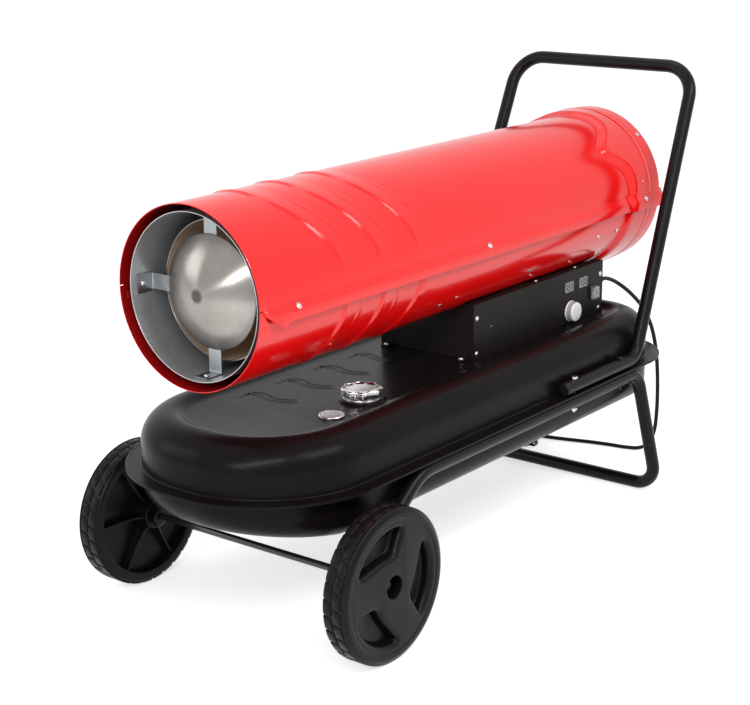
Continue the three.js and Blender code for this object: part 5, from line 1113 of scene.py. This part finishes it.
parts = []
for y, z in ((33, 423), (32, 358), (455, 423), (450, 356)):
    parts += pan_head((PANEL_X, y, z), (1, 0, 0), 4.2, 2.4, 5.0)
for y in (241, 378):
    parts += pan_head((92, y, 449.1), (0, 0, 1), 3.6, 2.2)
parts += pan_head((PANEL_X, 78, 399.5), (1, 0, 0), 1.3, 0.4)
for side in (-1, 1):
    parts += pan_head((side * 84, 13, 350.2), (0, 0, 1), 4.4, 3.0, 5.4)
piece("panel_screws", parts, "heater", ZINC)
parts = []
for side in (-1, 1):
    tab = prism(rounded([(-9, 0), (9, 0), (9, 18), (-9, 18)], 4, 5, closed=True), 0, 1.4, 0.2)
    parts.append(placed(tab, None, (side * 84, 4.0, 348.6)))
    parts.append(block(side * 84 - 9, side * 84 + 9, 20.9, 22.4, 349.0, 366.0))
piece("box_feet", parts, "heater", PANEL_BLACK, bevel=0.4)

KY, KZ = KNOB_AT
ribs = 48
angles = np.arange(ribs * 4) * 2 * math.pi / (ribs * 4)
wave = np.where(np.arange(ribs * 4) % 4 < 2, 0.0, -0.35)
skirt = [(17.5, 0.2, 0), (19.4, 0.2, 0), (20.0, 0.6, 0), (20.0, 2.0, 0), (19.2, 2.5, 0), (19.0, 2.8, 1),
         (18.7, 11.8, 1), (18.5, 12.4, 0), (18.4, 13.0, 0),
         (18.0, 14.2, 0), (17.0, 15.0, 0), (15.4, 15.3, 0), (8, 15.3, 0), (0.01, 15.3, 0)]
rows = [np.stack([(r + wave * f) * np.cos(angles), (r + wave * f) * np.sin(angles), np.full(len(angles), h)],
                 1) for r, h, f in skirt]
mark = block(8.5, 16.2, -0.7, 0.7, 15.25, 15.45)
bands = ((grid(rows[:6]), 0), (grid(rows[5:8]), 1), (grid(rows[7:], caps=(False, True)), 0), (mark, 1))
parts = [(*placed(band, AXES["x"], (PANEL_FACE, KY, KZ)), finish) for band, finish in bands]
piece("dial_knob", parts, "knob", [WHITE, GREY], ["thermostat_knob"], sharp=40)

SY, SZ = SWITCH_AT
bezel = []
for x, grow in ((104.1, 0.2), (104.6, 0.0), (106.6, -0.6), (106.9, -1.4)):
    bezel.append(upright(rectangle(10.5, 14.5, 2.0, 4, grow), x, SWITCH_AT))
bezel += [upright(rectangle(7.9, 12.5, 0.8, 4), x, SWITCH_AT) for x in (106.9, 95.0)]
switch_body = block(86, 104, SY - 7.5, SY + 7.5, SZ - 12, SZ + 12)
parts = [grid(bezel, caps=(False, True)), switch_body]
piece("switch_bezel", parts, "heater", PLASTIC, ["rocker_housing"], sharp=35)
cover = []
for x, w, h in ((106.7, 9.8, 13.8), (107.0, 9.8, 13.8), (113.0, 8.9, 12.8), (115.6, 6.6, 10.4),
                (116.0, 5.8, 9.6)):
    cover.append(upright(rectangle(w, h, 1.6, 4), x, SWITCH_AT))
piece("switch_cover", [grid(cover, caps=(False, True))], "heater", CLEAR, thick=0.7, sharp=30,
      outward=lambda c: (c[0] - 108, c[1] - SY, c[2] - SZ))


def digit(y, z, high=13.0, wide=7.6):
    """Seven bars of one figure on the display's face, lit side towards the front."""
    bars = []
    half, low = wide / 2, high / 2
    upright_bars = [(side * half, end * low / 2, 0) for end in (1, -1) for side in (-1, 1)]
    t, lean = 0.5, 0.10
    for cy, cz, flat_bar in [(0, low, 1), (0, 0, 1), (0, -low, 1), *upright_bars]:
        long = (half if flat_bar else low / 2) - 0.9
        shape = [(-long, 0), (-long + t, t), (long - t, t), (long, 0), (long - t, -t), (-long + t, -t)]
        pts = [(a, b) if flat_bar else (b, a) for a, b in shape]
        rows = [[(x, y + cy + a + lean * (cz + b), z + cz + b) for a, b in pts] for x in (104.45, 104.75)]
        bars.append(grid(rows, caps=(True, True)))
    return bars


outer_loop, inner_loop = rectangle(14.2, 9.2, 1.2, 4), rectangle(14.2, 9.2, 0.8, 4, -0.7)
rim = ((outer_loop, 104.3), (outer_loop, 104.8), (inner_loop, 104.8), (inner_loop, 104.3))
for word, y in DISPLAYS_AT:
    parts = [grid([upright(loop, x, (y, DISPLAY_Z)) for loop, x in rim])]
    for shift in (-6.0, 6.0):
        parts += digit(y + shift, DISPLAY_Z)
    piece(f"display_figures_{word}", parts, "heater", FIGURE)

# ---------------------------------------------------------------- rear guard

wires = []
for radius in (52, 102, 152.4):
    loop = [(radius * math.cos(a), GUARD_Y,
             TUBE_Z + radius * math.sin(a)) for a in np.linspace(0, 2 * math.pi, 97)]
    wires.append(sweep(loop, WIRE_R, 10, caps=False))
for k in range(3):
    a = math.pi * k / 3
    c, s = math.cos(a), math.sin(a)
    wires.append(sweep([(t * c, GUARD_Y, TUBE_Z + t * s) for t in (-152, -140, 0, 140, 152)], WIRE_R, 10))
piece("intake_grille", wires, "heater", ROD_BLACK, ["rear_guard"])

# ---------------------------------------------------------------- finishes of the CAD nodes that stay

STAY = {
    "burner_head": STEEL, "fuel_nozzle": BRASS, "igniter": CERAMIC, "flame_sensor": PLASTIC, "fan": ALUMINIUM,
        "motor_shaft": ZINC,
    "motor": IRON, "motor_bracket": SPANGLE, "pump_body": ALUMINIUM, "pump_rotor": PLASTIC,
        "pump_cover": ALUMINIUM,
    "drain_plug": ZINC, "cap_gasket": RUBBER, "gauge_lens": CLEAR, "gauge_pointer": MARKER,
        "float_arm": PLASTIC,
    "fuel_pickup": BRASS, "fuel_line": PLASTIC, "air_hose": RUBBER, "control_box": PANEL_BLACK,
        "side_panel": PANEL_BLACK, "thermostat": PLASTIC,
    "display_room": SCREEN, "display_set": SCREEN, "circuit_board": GREEN, "transformer": IRON,
        "rocker": GREY,
    # painted shade: the rear handle bolts take the black rod paint to stand in for the shade they sit in;
    # they are zinc like the front ones
    "handle_bolt_left_1": ZINC, "handle_bolt_left_2": ROD_BLACK, "handle_bolt_right_1": ZINC,
        "handle_bolt_right_2": ROD_BLACK,
}
SOFT_EDGES = {"control_box": 0.8, "side_panel": 0.5, "thermostat": 0.6, "rocker": 0.8, "transformer": 1.2,
              "motor_bracket": 0.4, "pump_body": 0.8,
              "pump_cover": 0.8, "drain_plug": 0.5, "display_room": 0.3, "display_set": 0.3}
for name, finish in STAY.items():
    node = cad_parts[name]
    node.data.materials.clear()
    node.data.materials.append(finish)
    node.data.shade_smooth()
    node.data.set_sharp_from_angle(angle=math.radians(32))
    if name in SOFT_EDGES:
        soften(node, SOFT_EDGES[name])

# ---------------------------------------------------------------- studio

scene = bpy.context.scene
scene.view_settings.view_transform = "Standard"

world = bpy.data.worlds.new("studio")
scene.world = world
world.use_nodes = True
sky = NodeMaker(world.node_tree)
rays = sky.node("ShaderNodeLightPath").outputs
shiny = sky.math("ADD", rays["Is Glossy Ray"], rays["Is Transmission Ray"], use_clamp=True)
seen = sky.math("ADD", rays["Is Camera Ray"], shiny, use_clamp=True)
brightness = sky.node("ShaderNodeMapRange", {"Value": seen, "To Min": 0.45, "To Max": 1.0}).outputs["Result"]
background = sky.tree.nodes["Background"].inputs
background["Color"].default_value = (1, 1, 1, 1)
sky.tree.links.new(brightness, background["Strength"])


def floor_finish():
    f = Finish("floor_white")
    tone = f.ramp(f.noise(3.0, 2.0), [(0.3, (0.80, 0.80, 0.80)), (0.7, (0.82, 0.82, 0.82))])
    f.colour(tone)
    f.rough(f.noise(5.0), 0.75, 0.85)
    path = f.node("ShaderNodeLightPath").outputs
    mirrored_rays = f.math("ADD", path["Is Glossy Ray"], path["Is Transmission Ray"])
    shown = f.math("ADD", path["Is Camera Ray"], mirrored_rays)
    lift_up = f.math("MULTIPLY", f.math("MINIMUM", shown, 1.0), 0.62)
    f.shader.inputs["Emission Color"].default_value = (1, 1, 1, 1)
    f.tree.links.new(lift_up, f.shader.inputs["Emission Strength"])
    return f.material


floor_mesh = bpy.data.meshes.new("floor")
floor_mesh.from_pydata([(-14, -14, 0), (14, -14, 0), (14, 14, 0), (-14, 14, 0)], [], [(0, 1, 2, 3)])
floor = bpy.data.objects.new("floor", floor_mesh)
scene.collection.objects.link(floor)
floor_mesh.materials.append(floor_finish())


def lamp(name, at, towards, size, power, along=(1, 0, 0)):
    """Soft rectangular lamp at a point, facing another, its first size along a direction."""
    light = bpy.data.lights.new(name, "AREA")
    light.shape = "RECTANGLE"
    light.size, light.size_y = size
    light.energy = power
    obj = bpy.data.objects.new(name, light)
    scene.collection.objects.link(obj)
    away = (Vector(at) - Vector(towards)).normalized()
    length = (Vector(along) - away * away.dot(Vector(along))).normalized()
    obj.matrix_world = Matrix.Translation(at) @ Matrix((length, away.cross(length),
                                                        away)).transposed().to_4x4()
    obj.visible_camera = False


lamp("key_strip", (0.87, -2.04, 1.385), (0.1, -0.59, 0.32), (2.03, 0.12), 28, (1.165, 1.34, 0.99))
lamp("side_softbox", (2.1, 0.0, 2.3), (0, 0, 0.5), (2.0, 0.8), 34, (0, 1, 0))
lamp("top_softbox", (-0.5, 0.1, 3.0), (0, 0, 0.5), (1.0, 2.6), 10)
lamp("fill_softbox", (-2.4, -2.2, 1.4), (0, -0.2, 0.4), (1.4, 1.4), 12, (1, -1, 0))
